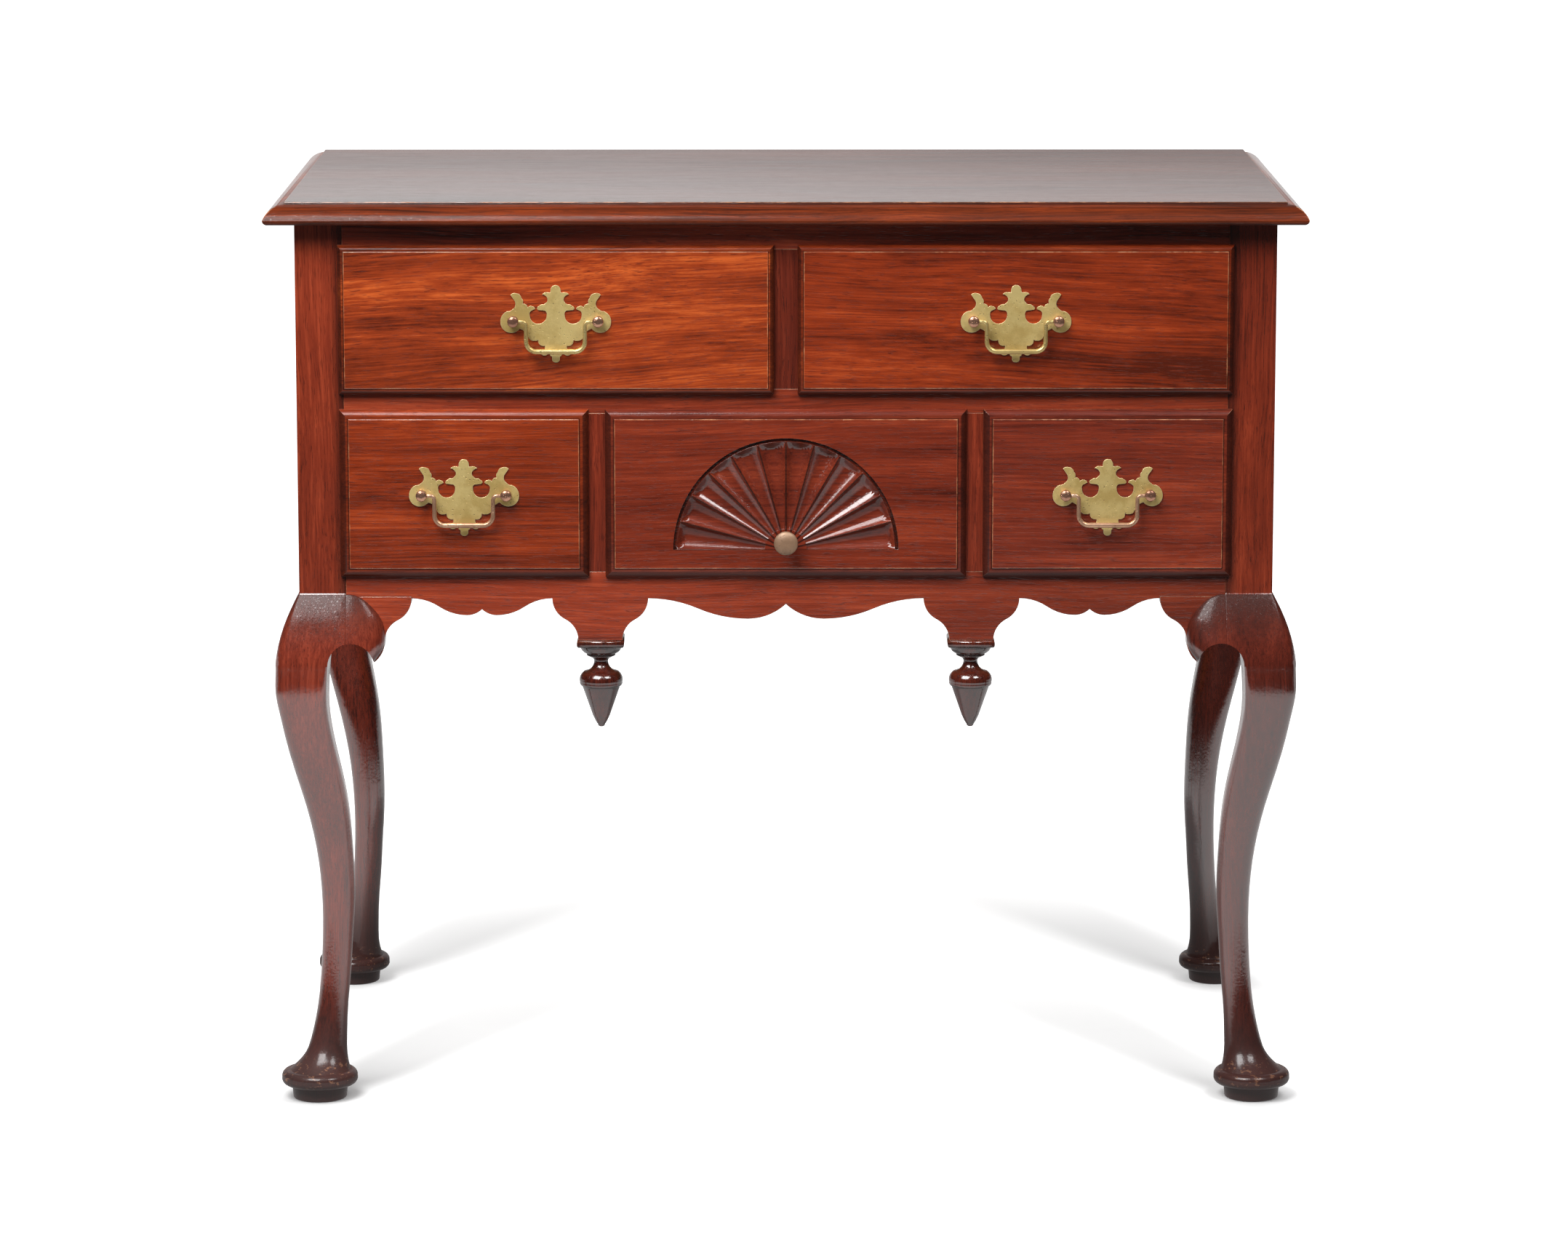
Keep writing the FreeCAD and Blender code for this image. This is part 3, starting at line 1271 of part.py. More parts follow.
def pull(label, x, z):
    """One pull: backplate, two posts with nuts, and the bail that swings on them."""
    plate = drawn(f"{label}_plate", plate_shape())
    plate.Placement.Base = Vector(x.value, S.field_face.value, z.value)
    keep(plate, f"{label}_pull_backplate")
    posts = []
    face = S.field_face - S.plate_thickness
    standout = S.post_projection - S.plate_thickness
    through = shank_length + S.plate_thickness
    for name, sign in (("left", -1), ("right", 1)):
        where = (x + sign * S.half_spacing, face, z)
        head = turned(f"{label}_{name}_head", "XY_Plane", post_shares, S.head_radius, standout, *where)
        shank = rod(f"{label}_{name}_shank", S.shank_radius, through, *where, (0, 1, 0))
        hole = rod(
            f"{label}_{name}_hole",
            S.wire_radius + S.pin_fit,
            S.pin_depth + S.overrun,
            x + sign * (S.half_spacing - S.head_radius - S.overrun),
            S.field_face - S.pivot_projection,
            z,
            (sign, 0, 0),
        )
        blank = fuse(f"{label}_{name}_post_blank", [head, shank])
        posts.append(cut(f"{label}_{name}_post", blank, [hole]))
        posts.append(nut(f"{label}_{name}_nut", where[0], z))
    keep(group(f"{label}_post_set", posts), f"{label}_pull_posts")
    bail = drawn(f"{label}_wire", bail_shape())
    bail.Placement.Base = Vector(x.value, S.field_face.value - S.pivot_projection.value, z.value)
    keep(bail, f"{label}_bail")


pull("upper_left", -S.upper_place, S.upper_pull)
pull("upper_right", S.upper_place, S.upper_pull)
pull("lower_left", -S.lower_place, S.lower_pull)
pull("lower_right", S.lower_place, S.lower_pull)

doc.recompute()
for item in doc.Objects:
    if "Invalid" in item.State or "Error" in item.State:
        raise RuntimeError(f"{item.Label} failed: {item.State}")
for piece in nodes:
    if piece.Shape.isNull() or not piece.Shape.isValid():
        raise RuntimeError(f"{piece.Label} has no valid shape")
os.makedirs("parts", exist_ok=True)
for piece in nodes:
    piece.Shape.exportStep(f"parts/{piece.Label}.step")
    print(piece.Label, len(piece.Shape.Solids), round(piece.Shape.Volume))
print(len(nodes), "pieces")
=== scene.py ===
# %% [markdown]
# This lesson dresses a small mahogany dressing table with five drawers.
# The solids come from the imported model, so every size is settled already; what is added here is how
# the table looks: eased edges, cast brass, polished wood and soft studio light.
# All lengths are metres. X runs along the front, Y from front to back and Z up from the floor.

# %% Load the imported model
import math

import bmesh
import bpy
from mathutils import Matrix, Vector


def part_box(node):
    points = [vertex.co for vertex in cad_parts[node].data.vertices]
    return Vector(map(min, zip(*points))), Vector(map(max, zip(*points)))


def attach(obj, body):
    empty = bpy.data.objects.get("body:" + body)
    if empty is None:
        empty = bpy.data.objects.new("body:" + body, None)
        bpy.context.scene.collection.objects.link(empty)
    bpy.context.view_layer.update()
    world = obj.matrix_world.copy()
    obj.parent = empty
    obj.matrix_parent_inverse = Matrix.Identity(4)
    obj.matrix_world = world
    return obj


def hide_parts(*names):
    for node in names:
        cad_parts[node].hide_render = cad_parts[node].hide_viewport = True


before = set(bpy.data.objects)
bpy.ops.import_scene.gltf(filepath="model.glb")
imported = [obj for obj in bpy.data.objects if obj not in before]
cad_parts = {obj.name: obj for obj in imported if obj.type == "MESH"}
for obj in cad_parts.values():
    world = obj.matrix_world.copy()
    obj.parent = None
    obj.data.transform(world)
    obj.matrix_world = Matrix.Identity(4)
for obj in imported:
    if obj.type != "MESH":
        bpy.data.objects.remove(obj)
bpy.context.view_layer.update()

# %% [markdown]
# Materials are node trees. Wiring dozens of nodes by hand hides the sums behind them, so one small class
# stands for a socket: arithmetic on it adds Math nodes, and one method adds any other node.


# %% A socket that can be calculated with
class Wire:
    """An output socket. Sums with it add Math nodes, and node() adds any other kind."""

    def __init__(self, tree, socket=None):
        self.tree = tree
        self.socket = socket

    def node(self, kind, settings=None, sockets=None, output=0):
        """Add a node: its settings first, then a value or a wire for each socket."""
        made = self.tree.nodes.new(kind)
        for name, value in (settings or {}).items():
            if name == "stops":
                fill_ramp(made.color_ramp, value)
            else:
                setattr(made, name, value)
        for name, value in (sockets or {}).items():
            if isinstance(value, Wire):
                self.tree.links.new(value.socket, made.inputs[name])
            else:
                made.inputs[name].default_value = value
        return Wire(self.tree, made.outputs[output] if made.outputs else None)

    def math(self, operation, *values):
        return self.node("ShaderNodeMath", {"operation": operation}, dict(enumerate(values)))

    def __add__(self, other):
        return self.math("ADD", self, other)

    def __radd__(self, other):
        return self.math("ADD", other, self)

    def __sub__(self, other):
        return self.math("SUBTRACT", self, other)

    def __rsub__(self, other):
        return self.math("SUBTRACT", other, self)

    def __mul__(self, other):
        return self.math("MULTIPLY", self, other)

    def __rmul__(self, other):
        return self.math("MULTIPLY", other, self)


def fill_ramp(ramp, stops):
    """Give a colour ramp its stops."""
    while len(ramp.elements) < len(stops):
        ramp.elements.new(1.0)
    for element, (position, colour) in zip(ramp.elements, stops):
        element.position = position
        element.color = colour


print("sockets can be calculated with")

# %% [markdown]
# Every finish starts from object coordinates and ends in a Principled shader. Between them stand a few
# kinds of node: noise, a smooth step from nothing to all, a colour ramp, a mix of colours and a bump.
# A function for each keeps the recipes short. Worn places mix in a second, duller shader, because a
# surface that has lost its polish mirrors less, and roughness alone can't take a mirrored light away.


# %% Parts of every finish
def shade(red, green, blue):
    """A colour as it is written in a picture, 0 to 255, in the linear values that Blender works with."""
    linear = []
    for part in (red, green, blue):
        share = part / 255
        linear.append(share / 12.92 if share <= 0.04045 else ((share + 0.055) / 1.055) ** 2.4)
    return (*linear, 1.0)


def new_finish(name):
    """A material without nodes, and the wire of its object coordinates."""
    finish = bpy.data.materials.new(name)
    finish.use_nodes = True
    finish.node_tree.nodes.clear()
    return finish, Wire(finish.node_tree).node("ShaderNodeTexCoord", output="Object")


def close_finish(place, sockets, dull=None):
    """Send the worked out values to a Principled shader, mixed with a duller one where that is asked for."""
    surface = place.node("ShaderNodeBsdfPrincipled", {}, sockets)
    if dull:
        matt = dict(sockets, **{"Roughness": 0.5, "Specular IOR Level": 0.06})
        worn = place.node("ShaderNodeBsdfPrincipled", {}, matt)
        surface = place.node("ShaderNodeMixShader", {}, {0: dull, 1: surface, 2: worn})
    place.node("ShaderNodeOutputMaterial", {}, {"Surface": surface})


def coordinate(place, name):
    """One coordinate of a place: X, Y or Z."""
    return place.node("ShaderNodeSeparateXYZ", {}, {"Vector": place}, name)


def unsigned(value):
    """A number without its sign."""
    return value.math("ABSOLUTE", value)


def larger(first, second):
    """The larger of two numbers."""
    return first.math("MAXIMUM", first, second)


def stretched(place, factors):
    """Coordinates squeezed along an axis draw a pattern out along it."""
    return place.node("ShaderNodeVectorMath", {"operation": "MULTIPLY"}, {0: place, 1: factors})


def noise(place, scale, detail=2.0, roughness=0.5, output=0):
    """Cloudy values about one half; output 1 gives three of them as a colour."""
    values = {"Vector": place, "Scale": scale, "Detail": detail, "Roughness": roughness}
    return place.node("ShaderNodeTexNoise", {}, values, output)


def step_up(value, low, high):
    """A smooth step from 0 to 1 between two values."""
    limits = {"Value": value, "From Min": low, "From Max": high}
    return value.node("ShaderNodeMapRange", {"interpolation_type": "SMOOTHSTEP"}, limits)


def ramp(value, stops):
    """A colour for each value."""
    return value.node("ShaderNodeValToRGB", {"stops": stops}, {"Fac": value})


def mix(factor, first, second):
    """One colour laid over another."""
    settings = {"data_type": "RGBA", "blend_type": "MIX"}
    return factor.node("ShaderNodeMix", settings, {0: factor, 6: first, 7: second}, 2)


def bump(height, distance):
    """A surface normal that follows a height."""
    return height.node("ShaderNodeBump", {}, {"Strength": 1.0, "Distance": distance, "Height": height})


def attribute(place, name):
    """A mark that was left on the mesh."""
    return place.node("ShaderNodeAttribute", {"attribute_name": name}, {}, "Fac")


print("shader helpers ready")

# %% [markdown]
# Mahogany under old varnish: a red brown ground, broad darker and lighter bands along the grain, fine
# fibres, and short dark pores. A photograph of wood would only fit one board. Noise that is drawn out
# along the grain fits every board in any direction, so the same recipe serves legs, rails and drawers,
# turned to follow each board's grain.

# %% Grain
TURNS = {
    "along": (0.0, 0.0, 0.0),
    "upright": (0.0, math.pi / 2, 0.0),
    "across": (0.0, 0.0, math.pi / 2),
}
TONES = (0.26, 0.42, 0.56, 0.76)


def grain_place(place, grain, offset, tilt=0.0):
    """Coordinates whose X runs along the grain, bent a little as real grain is."""
    about_x, about_y, about_z = TURNS[grain]
    turn = {"Vector": place, "Rotation": (about_x, about_y + tilt, about_z), "Location": offset}
    turned = place.node("ShaderNodeMapping", {}, turn)
    drift = noise(stretched(turned, (0.35, 1.0, 1.0)), 7.0, 2.0, 0.5, 1)
    centred = place.node("ShaderNodeVectorMath", {"operation": "SUBTRACT"}, {0: drift, 1: (0.5, 0.5, 0.5)})
    swing = place.node("ShaderNodeVectorMath", {"operation": "SCALE"}, {0: centred, "Scale": 0.03})
    return place.node("ShaderNodeVectorMath", {"operation": "ADD"}, {0: turned, 1: swing})


def grained(board, colours, curl):
    """Wood in each set of colours, the fine streaks alone, and the pores."""
    bands = noise(stretched(board, (0.05, 1.0, 1.0)), 42.0, 4.0, 0.55)
    streaks = noise(stretched(board, (0.015, 1.0, 1.0)), 520.0, 5.0, 0.7)
    clouds = noise(stretched(board, (0.4, 1.0, 1.0)), 7.0, 3.0, 0.55)
    ripple = noise(stretched(board, (0.3, 1.0, 1.0)), 130.0, 4.0, 0.65)
    flecks = noise(stretched(board, (0.06, 1.0, 1.0)), 1300.0, 1.0, 0.5)
    tone = bands * 0.75 + streaks * 0.9 + clouds * 0.6 + ripple * curl - (0.625 + curl / 2)
    grounds = [ramp(tone, list(zip(TONES, tint))) for tint in colours]
    pores = step_up(flecks, 0.6, 0.68)
    return [mix(pores * 0.55, ground, tint[0]) for ground, tint in zip(grounds, colours)], streaks, pores


print("grain directions:", ", ".join(TURNS))

# %% [markdown]
# Old polish is uneven. The top is dullest at its back and right, the knees have lost their shine, feet
# are kicked, and dark lines of painted shade run between the flutes of the carved fan, whose lowest flutes
# are dullest. These marks belong to places on the table, so they are worked out from coordinates. Rubbed
# edges, inner corners, which are painted darker for dust and for shade, and drawer lips are marked on the
# mesh further down instead, because only the mesh knows where its corners are.

# %% Wear and painted shade by place
BOARD_END = 0.444
FAN_Z = 0.502
FAN_RADIUS = 0.0995
FAN_DEPTH = 0.009
FLUTES = 12


def top_sheen(place, streaks):
    """How far a table top has lost its polish: more towards the back and the right, and along the grain."""
    to_back = step_up(coordinate(place, "Y"), -0.3, 0.3)
    to_right = step_up(coordinate(place, "X"), -0.3, 0.5)
    return to_back * 0.42 + to_right * 0.28 + streaks * 0.5 - 0.27


def worn_line(place, wear, woods, streaks):
    """The wood below and above a line, how dull it is, and a mask that is 1 above the line.

    Over a reach below the line the wood is darker and matt, but for glints. Above it, a table top has
    a sheen of its own; the moulded ends of its board keep their polish.
    """
    line, reach = wear["line"], wear["reach"]
    height = coordinate(place, "Z")
    upper = step_up(height, line - 0.001, line)
    knee = step_up(height, line - reach, line) * (1.0 - upper)
    wood = mix(upper, mix(knee * wear["dark"], woods[0], shade(48, 24, 18)), woods[1])
    glints = step_up(noise(place, 700.0, 1.0), 0.6, 0.72)
    matt = step_up(height, line - reach, line - reach * 0.5) * (1.0 - upper)
    dull = matt * 0.92 - glints * matt * 0.2
    if wear["table_top"]:
        ends = step_up(unsigned(coordinate(place, "X")), BOARD_END - 0.006, BOARD_END)
        behind = step_up(coordinate(place, "Y"), -0.246, -0.236)
        dull = dull * (1.0 - ends * behind) + upper * top_sheen(place, streaks)
    return wood, dull, upper


def fan_shade_lines(place, face):
    """Lines of painted shade between the flutes of the carved fan, and its dullness, most in the low flutes.
    """
    across = coordinate(place, "X")
    height = coordinate(place, "Z") - FAN_Z
    flute = across.math("ARCTAN2", height, across) * (FLUTES / math.pi)
    radius = across.math("SQRT", across * across + height * height)
    gap = flute.math("PINGPONG", flute, 0.5) * radius * (math.pi / FLUTES)
    inside = 1.0 - step_up(radius, FAN_RADIUS - 0.004, FAN_RADIUS - 0.003)
    carved = inside * step_up(height, -0.001, 0.001)
    fan = carved * (1.0 - step_up(coordinate(place, "Y"), face + FAN_DEPTH, face + FAN_DEPTH + 0.001))
    low = 1.0 - step_up(flute.math("PINGPONG", flute, FLUTES / 2.0), 1.7, 2.3)
    return (1.0 - step_up(gap, 0.0004, 0.0012)) * fan, (low * 0.3 + 0.35) * fan


def kicked(place, colour):
    """Pale marks of brooms and shoes on the rims of the feet."""
    height = coordinate(place, "Z")
    kicks = step_up(noise(stretched(place, (0.6, 0.6, 1.0)), 330.0, 3.0, 0.6), 0.58, 0.66)
    rim = step_up(height, 0.012, 0.02) * (1.0 - step_up(height, 0.03, 0.042))
    return mix(kicks * rim * 0.55, colour, shade(164, 116, 88))


# The dark lines between the flutes are painted shade.
print("flutes with wax between them:", FLUTES)

# %% [markdown]
# One function makes every mahogany finish: grain first, then rubbed edges in a paler colour, old wax and
# painted shade in a darker one, and the marks that belong to that board alone. Varnish lies over it as a
# thin uneven film, so roughness follows the streaks and smears, and a very low bump gives it its skin.

# %% Varnished mahogany
OPENING_EDGE = 0.3895
RUBBED_WOOD = shade(202, 140, 100)
# Dark colour for old wax and dirt, and for painted shade on lips, beside the openings and between the
# flutes.
WAX_AND_SHADE = shade(32, 15, 12)
# Painted shade that deepens towards the right side of the table.
PAINTED_RIGHT_SHADE = shade(44, 16, 12)
# Greyish dirt on the feet, which also stands in as a painted reflection of the pale floor.
DIRT_AND_FLOOR_REFLECTION = shade(74, 57, 55)


def mahogany(
    name,
    grain,
    colours,
    offset,
    roughness=0.2,
    curl=0.1,
    peel=0.3,
    tilt=0.0,
    ior=1.6,
    wear=None,
    beside=None,
    shade_to_right=0.0,
    fan=None,
    feet=False,
):
    """Varnished mahogany: colours run from the darkest streak to the palest band.

    wear changes the wood at a height. Beside the drawers, from a given distance to the edge of the
    openings, wood above that height gets painted shade. Wood can also get painted shade that deepens
    towards the right. fan is the face of the drawer with the carving, whose flutes get lines of painted
    shade, and feet are dark with waxy dirt, greyed by dirt and by a painted reflection of the floor, and
    kicked.
    """
    finish, place = new_finish(name)
    tints = [colours, wear["colours"]] if wear else [colours]
    woods, streaks, pores = grained(grain_place(place, grain, offset, tilt), tints, curl)
    wood = woods[0]
    dull = attribute(place, "lip") * 0.8
    if wear:
        wood, dull, upper = worn_line(place, wear, woods, streaks)
    patches = step_up(noise(place, 60.0, 4.0, 0.7), 0.44, 0.64)
    colour = mix(attribute(place, "rubbed") * (patches * 0.6 + 0.15), wood, RUBBED_WOOD)
    wax_and_shade = attribute(place, "grime")
    if feet:
        foot = (1.0 - step_up(coordinate(place, "Z"), 0.03, 0.12)) * 0.8
        dull = larger(dull, foot)
        wax_and_shade = larger(wax_and_shade, foot)
    # Painted shade lines between the flutes, and a duller polish in the fan.
    if fan:
        lines, dusty = fan_shade_lines(place, fan)
        wax_and_shade = larger(wax_and_shade, lines)
        dull = larger(dull, dusty)
    # Painted shade beside the drawer openings, on the front of the posts above the knee.
    if beside:
        front = 1.0 - step_up(coordinate(place, "Y"), -0.2, -0.15)
        painted_shade_beside = (1.0 - step_up(unsigned(coordinate(place, "X")), OPENING_EDGE, beside)) * front
        wax_and_shade = larger(wax_and_shade, painted_shade_beside * upper * 0.8)
    colour = mix(wax_and_shade * 0.85, colour, WAX_AND_SHADE)
    if feet:
        # Feet greyed by dirt and by a painted reflection of the floor.
        colour = mix(foot * 0.75, colour, DIRT_AND_FLOOR_REFLECTION)
        colour = kicked(place, colour)
    # Painted shade, deepening towards the right; on the legs only below the knee.
    if shade_to_right:
        right_shade_mask = step_up(coordinate(place, "X"), -0.15, 0.4) * shade_to_right
        if wear:
            right_shade_mask = right_shade_mask * (1.0 - upper)
        colour = mix(right_shade_mask, colour, PAINTED_RIGHT_SHADE)
    smear = noise(place, 30.0, 3.0, 0.6)
    skin = noise(place, 420.0, 2.0, 0.5) * peel + streaks * 0.3 - pores * 0.2
    close_finish(
        place,
        {
            "Base Color": colour,
            "Roughness": streaks * 0.08 + smear * 0.08 + (roughness - 0.08),
            "IOR": ior,
            "Specular IOR Level": 0.9,
            "Normal": bump(skin, 0.00012),
        },
        dull,
    )
    return finish


print("mahogany can be made")

# %% [markdown]
# The boards of this table don't quite match, so each kind has its own colours: the drawers run from
# orange at the upper left to red brown at the lower right, and the upper divider is darker than the
# rails. The legs change at the top of the knee, where the square post begins, and the top board at its
# flat face.

# %% Mahogany finishes
RED_BROWN = (shade(70, 24, 16), shade(108, 39, 24), shade(126, 47, 28), shade(156, 64, 38))
STILE = (shade(72, 25, 15), shade(112, 40, 23), shade(130, 48, 27), shade(158, 64, 37))
RAIL = (shade(86, 30, 18), shade(132, 49, 28), shade(152, 58, 33), shade(182, 77, 45))
MIDDLE_RAIL = (shade(82, 30, 18), shade(125, 47, 27), shade(143, 56, 32), shade(170, 74, 44))
DIVIDER = (shade(52, 18, 12), shade(84, 29, 18), shade(98, 35, 21), shade(124, 48, 29))
LEG = (shade(62, 22, 15), shade(102, 37, 23), shade(120, 44, 28), shade(148, 60, 39))
DARK = (shade(44, 16, 11), shade(74, 27, 18), shade(90, 34, 22), shade(116, 47, 31))
ORANGE = (shade(84, 28, 12), shade(132, 49, 19), shade(157, 61, 24), shade(202, 93, 39))
RUSSET = (shade(80, 26, 11), shade(122, 42, 16), shade(144, 52, 20), shade(178, 74, 32))
EDGE_BROWN = (shade(55, 20, 7), shade(94, 35, 10), shade(117, 45, 13), shade(154, 69, 22))
UMBER = (shade(54, 27, 21), shade(72, 37, 28), shade(84, 44, 33), shade(98, 53, 40))
TOP_FACE = 0.8095
KNEE_TOP = 0.4614
knee_wear = {"line": KNEE_TOP, "colours": STILE, "reach": 0.055, "dark": 0.8, "table_top": False}
# Under the flat face of the top, its moulded edge is matt from wear and a little darker, as painted shade.
edge_wear_and_shade = {"line": TOP_FACE, "colours": UMBER, "reach": 0.06, "dark": 0.1, "table_top": True}
fan_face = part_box("lower_centre_drawer_front")[0].y

# Legs and rails get painted shade towards the right, and the legs get painted shade beside the drawer
# openings.
case_woods = {
    "upper_divider": mahogany("mahogany_upper_divider", "upright", DIVIDER, (0.3, 0.1, 0.7)),
    "lower_dividers": mahogany("mahogany_lower_dividers", "upright", STILE, (0.8, 0.3, 0.1)),
    "legs": mahogany(
        "mahogany_legs",
        "upright",
        LEG,
        (0.9, 0.4, 0.2),
        0.17,
        peel=0.7,
        ior=1.72,
        wear=knee_wear,
        beside=0.403,
        shade_to_right=0.4,
        feet=True,
    ),
    "pendants": mahogany("mahogany_turned", "upright", DARK, (0.1, 0.8, 0.6), 0.13, peel=0.4),
    "rails": mahogany("mahogany_rails", "along", RAIL, (0.2, 0.6, 0.5), shade_to_right=0.45),
    "middle_rail": mahogany("mahogany_middle_rail", "along", MIDDLE_RAIL, (0.4, 0.1, 0.9)),
    "panels": mahogany("mahogany_panels", "across", RED_BROWN, (0.5, 0.9, 0.1)),
    "top": mahogany(
        "mahogany_top_board", "along", EDGE_BROWN, (0.7, 0.2, 0.3), 0.14, peel=0.2, wear=edge_wear_and_shade
    ),
}
front_woods = {
    "upper_left": mahogany(
        "mahogany_upper_left", "along", ORANGE, (1.1, 0.3, 0.2), 0.21, curl=0.32, tilt=0.07
    ),
    "upper_right": mahogany(
        "mahogany_upper_right", "along", RUSSET, (2.3, 0.5, 0.9), 0.21, curl=0.28, tilt=-0.03
    ),
    "lower_left": mahogany("mahogany_lower_left", "along", RUSSET, (3.7, 0.7, 0.4), 0.21, curl=0.2),
    "lower_centre": mahogany(
        "mahogany_lower_centre", "along", RED_BROWN, (6.1, 0.4, 0.3), 0.15, curl=0.2, peel=0.5, fan=fan_face
    ),
    "lower_right": mahogany("mahogany_lower_right", "along", RED_BROWN, (5.3, 0.8, 0.1), 0.21, curl=0.2),
}
print("mahogany finishes:", len(case_woods) + len(front_woods))

# %% [markdown]
# Inside, drawers and runners are plain pine, planed but never polished. It is pale and dry, with wide
# bands between the winter rings, so the same noise is used with fewer layers and a dull surface.


# %% Pine
def pine(name, grain, offset):
    """Bare pine, browned by age."""
    finish, place = new_finish(name)
    board = grain_place(place, grain, offset)
    rings = noise(stretched(board, (0.03, 1.0, 1.0)), 95.0, 4.0, 0.6)
    fibres = noise(stretched(board, (0.03, 1.0, 1.0)), 700.0, 3.0, 0.6)
    clouds = noise(place, 5.0, 3.0, 0.6)
    tone = rings * 0.6 + fibres * 0.4 + clouds * 0.35 - 0.175
    stops = ((0.3, shade(136, 94, 58)), (0.45, shade(172, 126, 82)), (0.6, shade(192, 148, 102)))
    close_finish(
        place,
        {
            "Base Color": ramp(tone, stops),
            "Roughness": fibres * 0.2 + 0.58,
            "Specular IOR Level": 0.3,
            "Normal": bump(fibres * 0.6 + rings * 0.4, 0.0003),
        },
    )
    return finish


pine_long = pine("pine_front_to_back", "across", (0.1, 0.2, 0.3))
pine_wide = pine("pine_side_to_side", "along", (0.6, 0.4, 0.8))
print("pine finishes: 2")

# %% [markdown]
# The pulls are cast brass, dulled to a greenish yellow; the post heads and the lower bails are more
# coppery. Metal shows little but what it mirrors, so the dull skin matters most: uneven roughness,
# faint clouds of tarnish and tiny casting pits.


# %% Brass
def brass(name, bright, dull, roughness, metallic, brushed=0.0):
    """Old brass between a bright and a tarnished colour."""
    finish, place = new_finish(name)
    clouds = noise(place, 90.0, 4.0, 0.6)
    broad = noise(place, 28.0, 1.0, 0.5)
    fine = noise(place, 900.0, 2.0, 0.5)
    lines = noise(stretched(place, (0.15, 1.0, 1.0)), 1500.0, 1.0)
    tarnish = step_up(clouds * 0.5 + broad * 0.5, 0.4, 0.62)
    pits = step_up(noise(place, 640.0, 0.0), 0.74, 0.8)
    skin = mix(attribute(place, "rubbed") * 0.6, mix(tarnish, bright, dull), shade(244, 230, 186))
    close_finish(
        place,
        {
            "Base Color": mix(pits * 0.55, skin, shade(92, 66, 38)),
            "Metallic": metallic - tarnish * 0.12,
            "Roughness": clouds * 0.2 + fine * 0.1 + (roughness - 0.15),
            "Normal": bump(clouds * 0.5 + fine * 0.2 + lines * brushed - pits * 0.5, 0.00025),
        },
    )
    return finish


plate_brass = brass("brass_plate", shade(234, 208, 138), shade(192, 164, 98), 0.4, 0.65, 0.2)
bail_copper = brass("brass_bail_coppery", shade(206, 164, 134), shade(164, 124, 98), 0.3, 0.7)
bail_yellow = brass("brass_bail_yellow", shade(210, 186, 124), shade(180, 154, 96), 0.3, 0.7)
head_copper = brass("brass_post_heads", shade(196, 148, 122), shade(152, 108, 88), 0.24, 0.85)
knob_brass = brass("brass_knob", shade(158, 126, 100), shade(136, 106, 82), 0.45, 0.35)
print("brass finishes: 5")

# %% [markdown]
# A sawn edge is never razor sharp: a maker eases it with a scraper, and years of use do the rest.
# The imported solids have sharp edges, so the pieces that show most are copied, their loose triangles
# are welded and flat areas joined, and each sharp edge is bevelled. The bevel's faces are marked as rubbed,
# and inner corners are marked for the wood finish to paint darker, as dust and as painted shade.

# %% Welding, bevels and marks
WELD = 0.00001
FLAT = math.radians(0.6)
CORNER = math.radians(28)


def welded(node, flatten=True):
    """A solid's mesh with its triangles joined, and room for the marks of wear."""
    shape = bmesh.new()
    shape.from_mesh(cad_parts[node].data)
    for mark in ("rubbed", "grime", "lip"):
        shape.loops.layers.float.new(mark)
    bmesh.ops.remove_doubles(shape, verts=shape.verts, dist=WELD)
    if flatten:
        bmesh.ops.dissolve_limit(shape, angle_limit=FLAT, verts=shape.verts, edges=shape.edges)
    return shape


def ease(shape, width, segments, edges, mark=1.0):
    """Bevel edges and mark the new faces as rubbed."""
    new_faces = bmesh.ops.bevel(
        shape,
        geom=edges,
        offset=width,
        offset_type="OFFSET",
        segments=segments,
        profile=0.5,
        affect="EDGES",
        clamp_overlap=True,
        material=-1,
    )["faces"]
    rubbed = shape.loops.layers.float["rubbed"]
    for face in new_faces:
        for loop in face.loops:
            loop[rubbed] = mark


def sharp_edges(shape, convex):
    """The edges at which two faces meet, at an outer corner or at an inner one."""
    corners = [edge for edge in shape.edges if edge.is_manifold and edge.calc_face_angle() > CORNER]
    return [edge for edge in corners if edge.is_convex == convex]


def darken_corners(shape, edges):
    """Mark inner corners to be painted darker, for dust and for painted shade."""
    grime = shape.loops.layers.float["grime"]
    for edge in edges:
        for loop in edge.link_loops:
            loop[grime] = 1.0
            loop.link_loop_next[grime] = 1.0


def add_piece(shape, name, finish, body, nodes):
    """Turn a bmesh into a piece of the table that moves with a body and stands for solids."""
    for face in shape.faces:
        face.smooth = True
    mesh = bpy.data.meshes.new(name)
    shape.to_mesh(mesh)
    shape.free()
    mesh.materials.append(finish)
    piece = bpy.data.objects.new(name, mesh)
    bpy.context.scene.collection.objects.link(piece)
    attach(piece, body)
    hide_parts(*nodes)
    return piece


print("edges count as sharp above", round(math.degrees(CORNER)), "degrees")

# %% [markdown]
# A drawer front is a raised field with a moulded lip round it. The lip is painted darker than the field, as
# painted shade that is deepest at its sides and below and least on top, and the field's border is rubbed
# pale. Both are found by their place on the front, so one recipe fits all five drawers. The flutes of the
# fan keep clean inner corners, since the finish paints lines of shade between them.

# %% Drawer lips
LIP_REACH = 0.012
WORN_EDGE = 0.0009
FIELD_DEPTH = 0.0003


def extent(shape):
    """The lowest and the highest coordinates of a shape."""
    low = [min(vertex.co[axis] for vertex in shape.verts) for axis in range(3)]
    high = [max(vertex.co[axis] for vertex in shape.verts) for axis in range(3)]
    return low, high


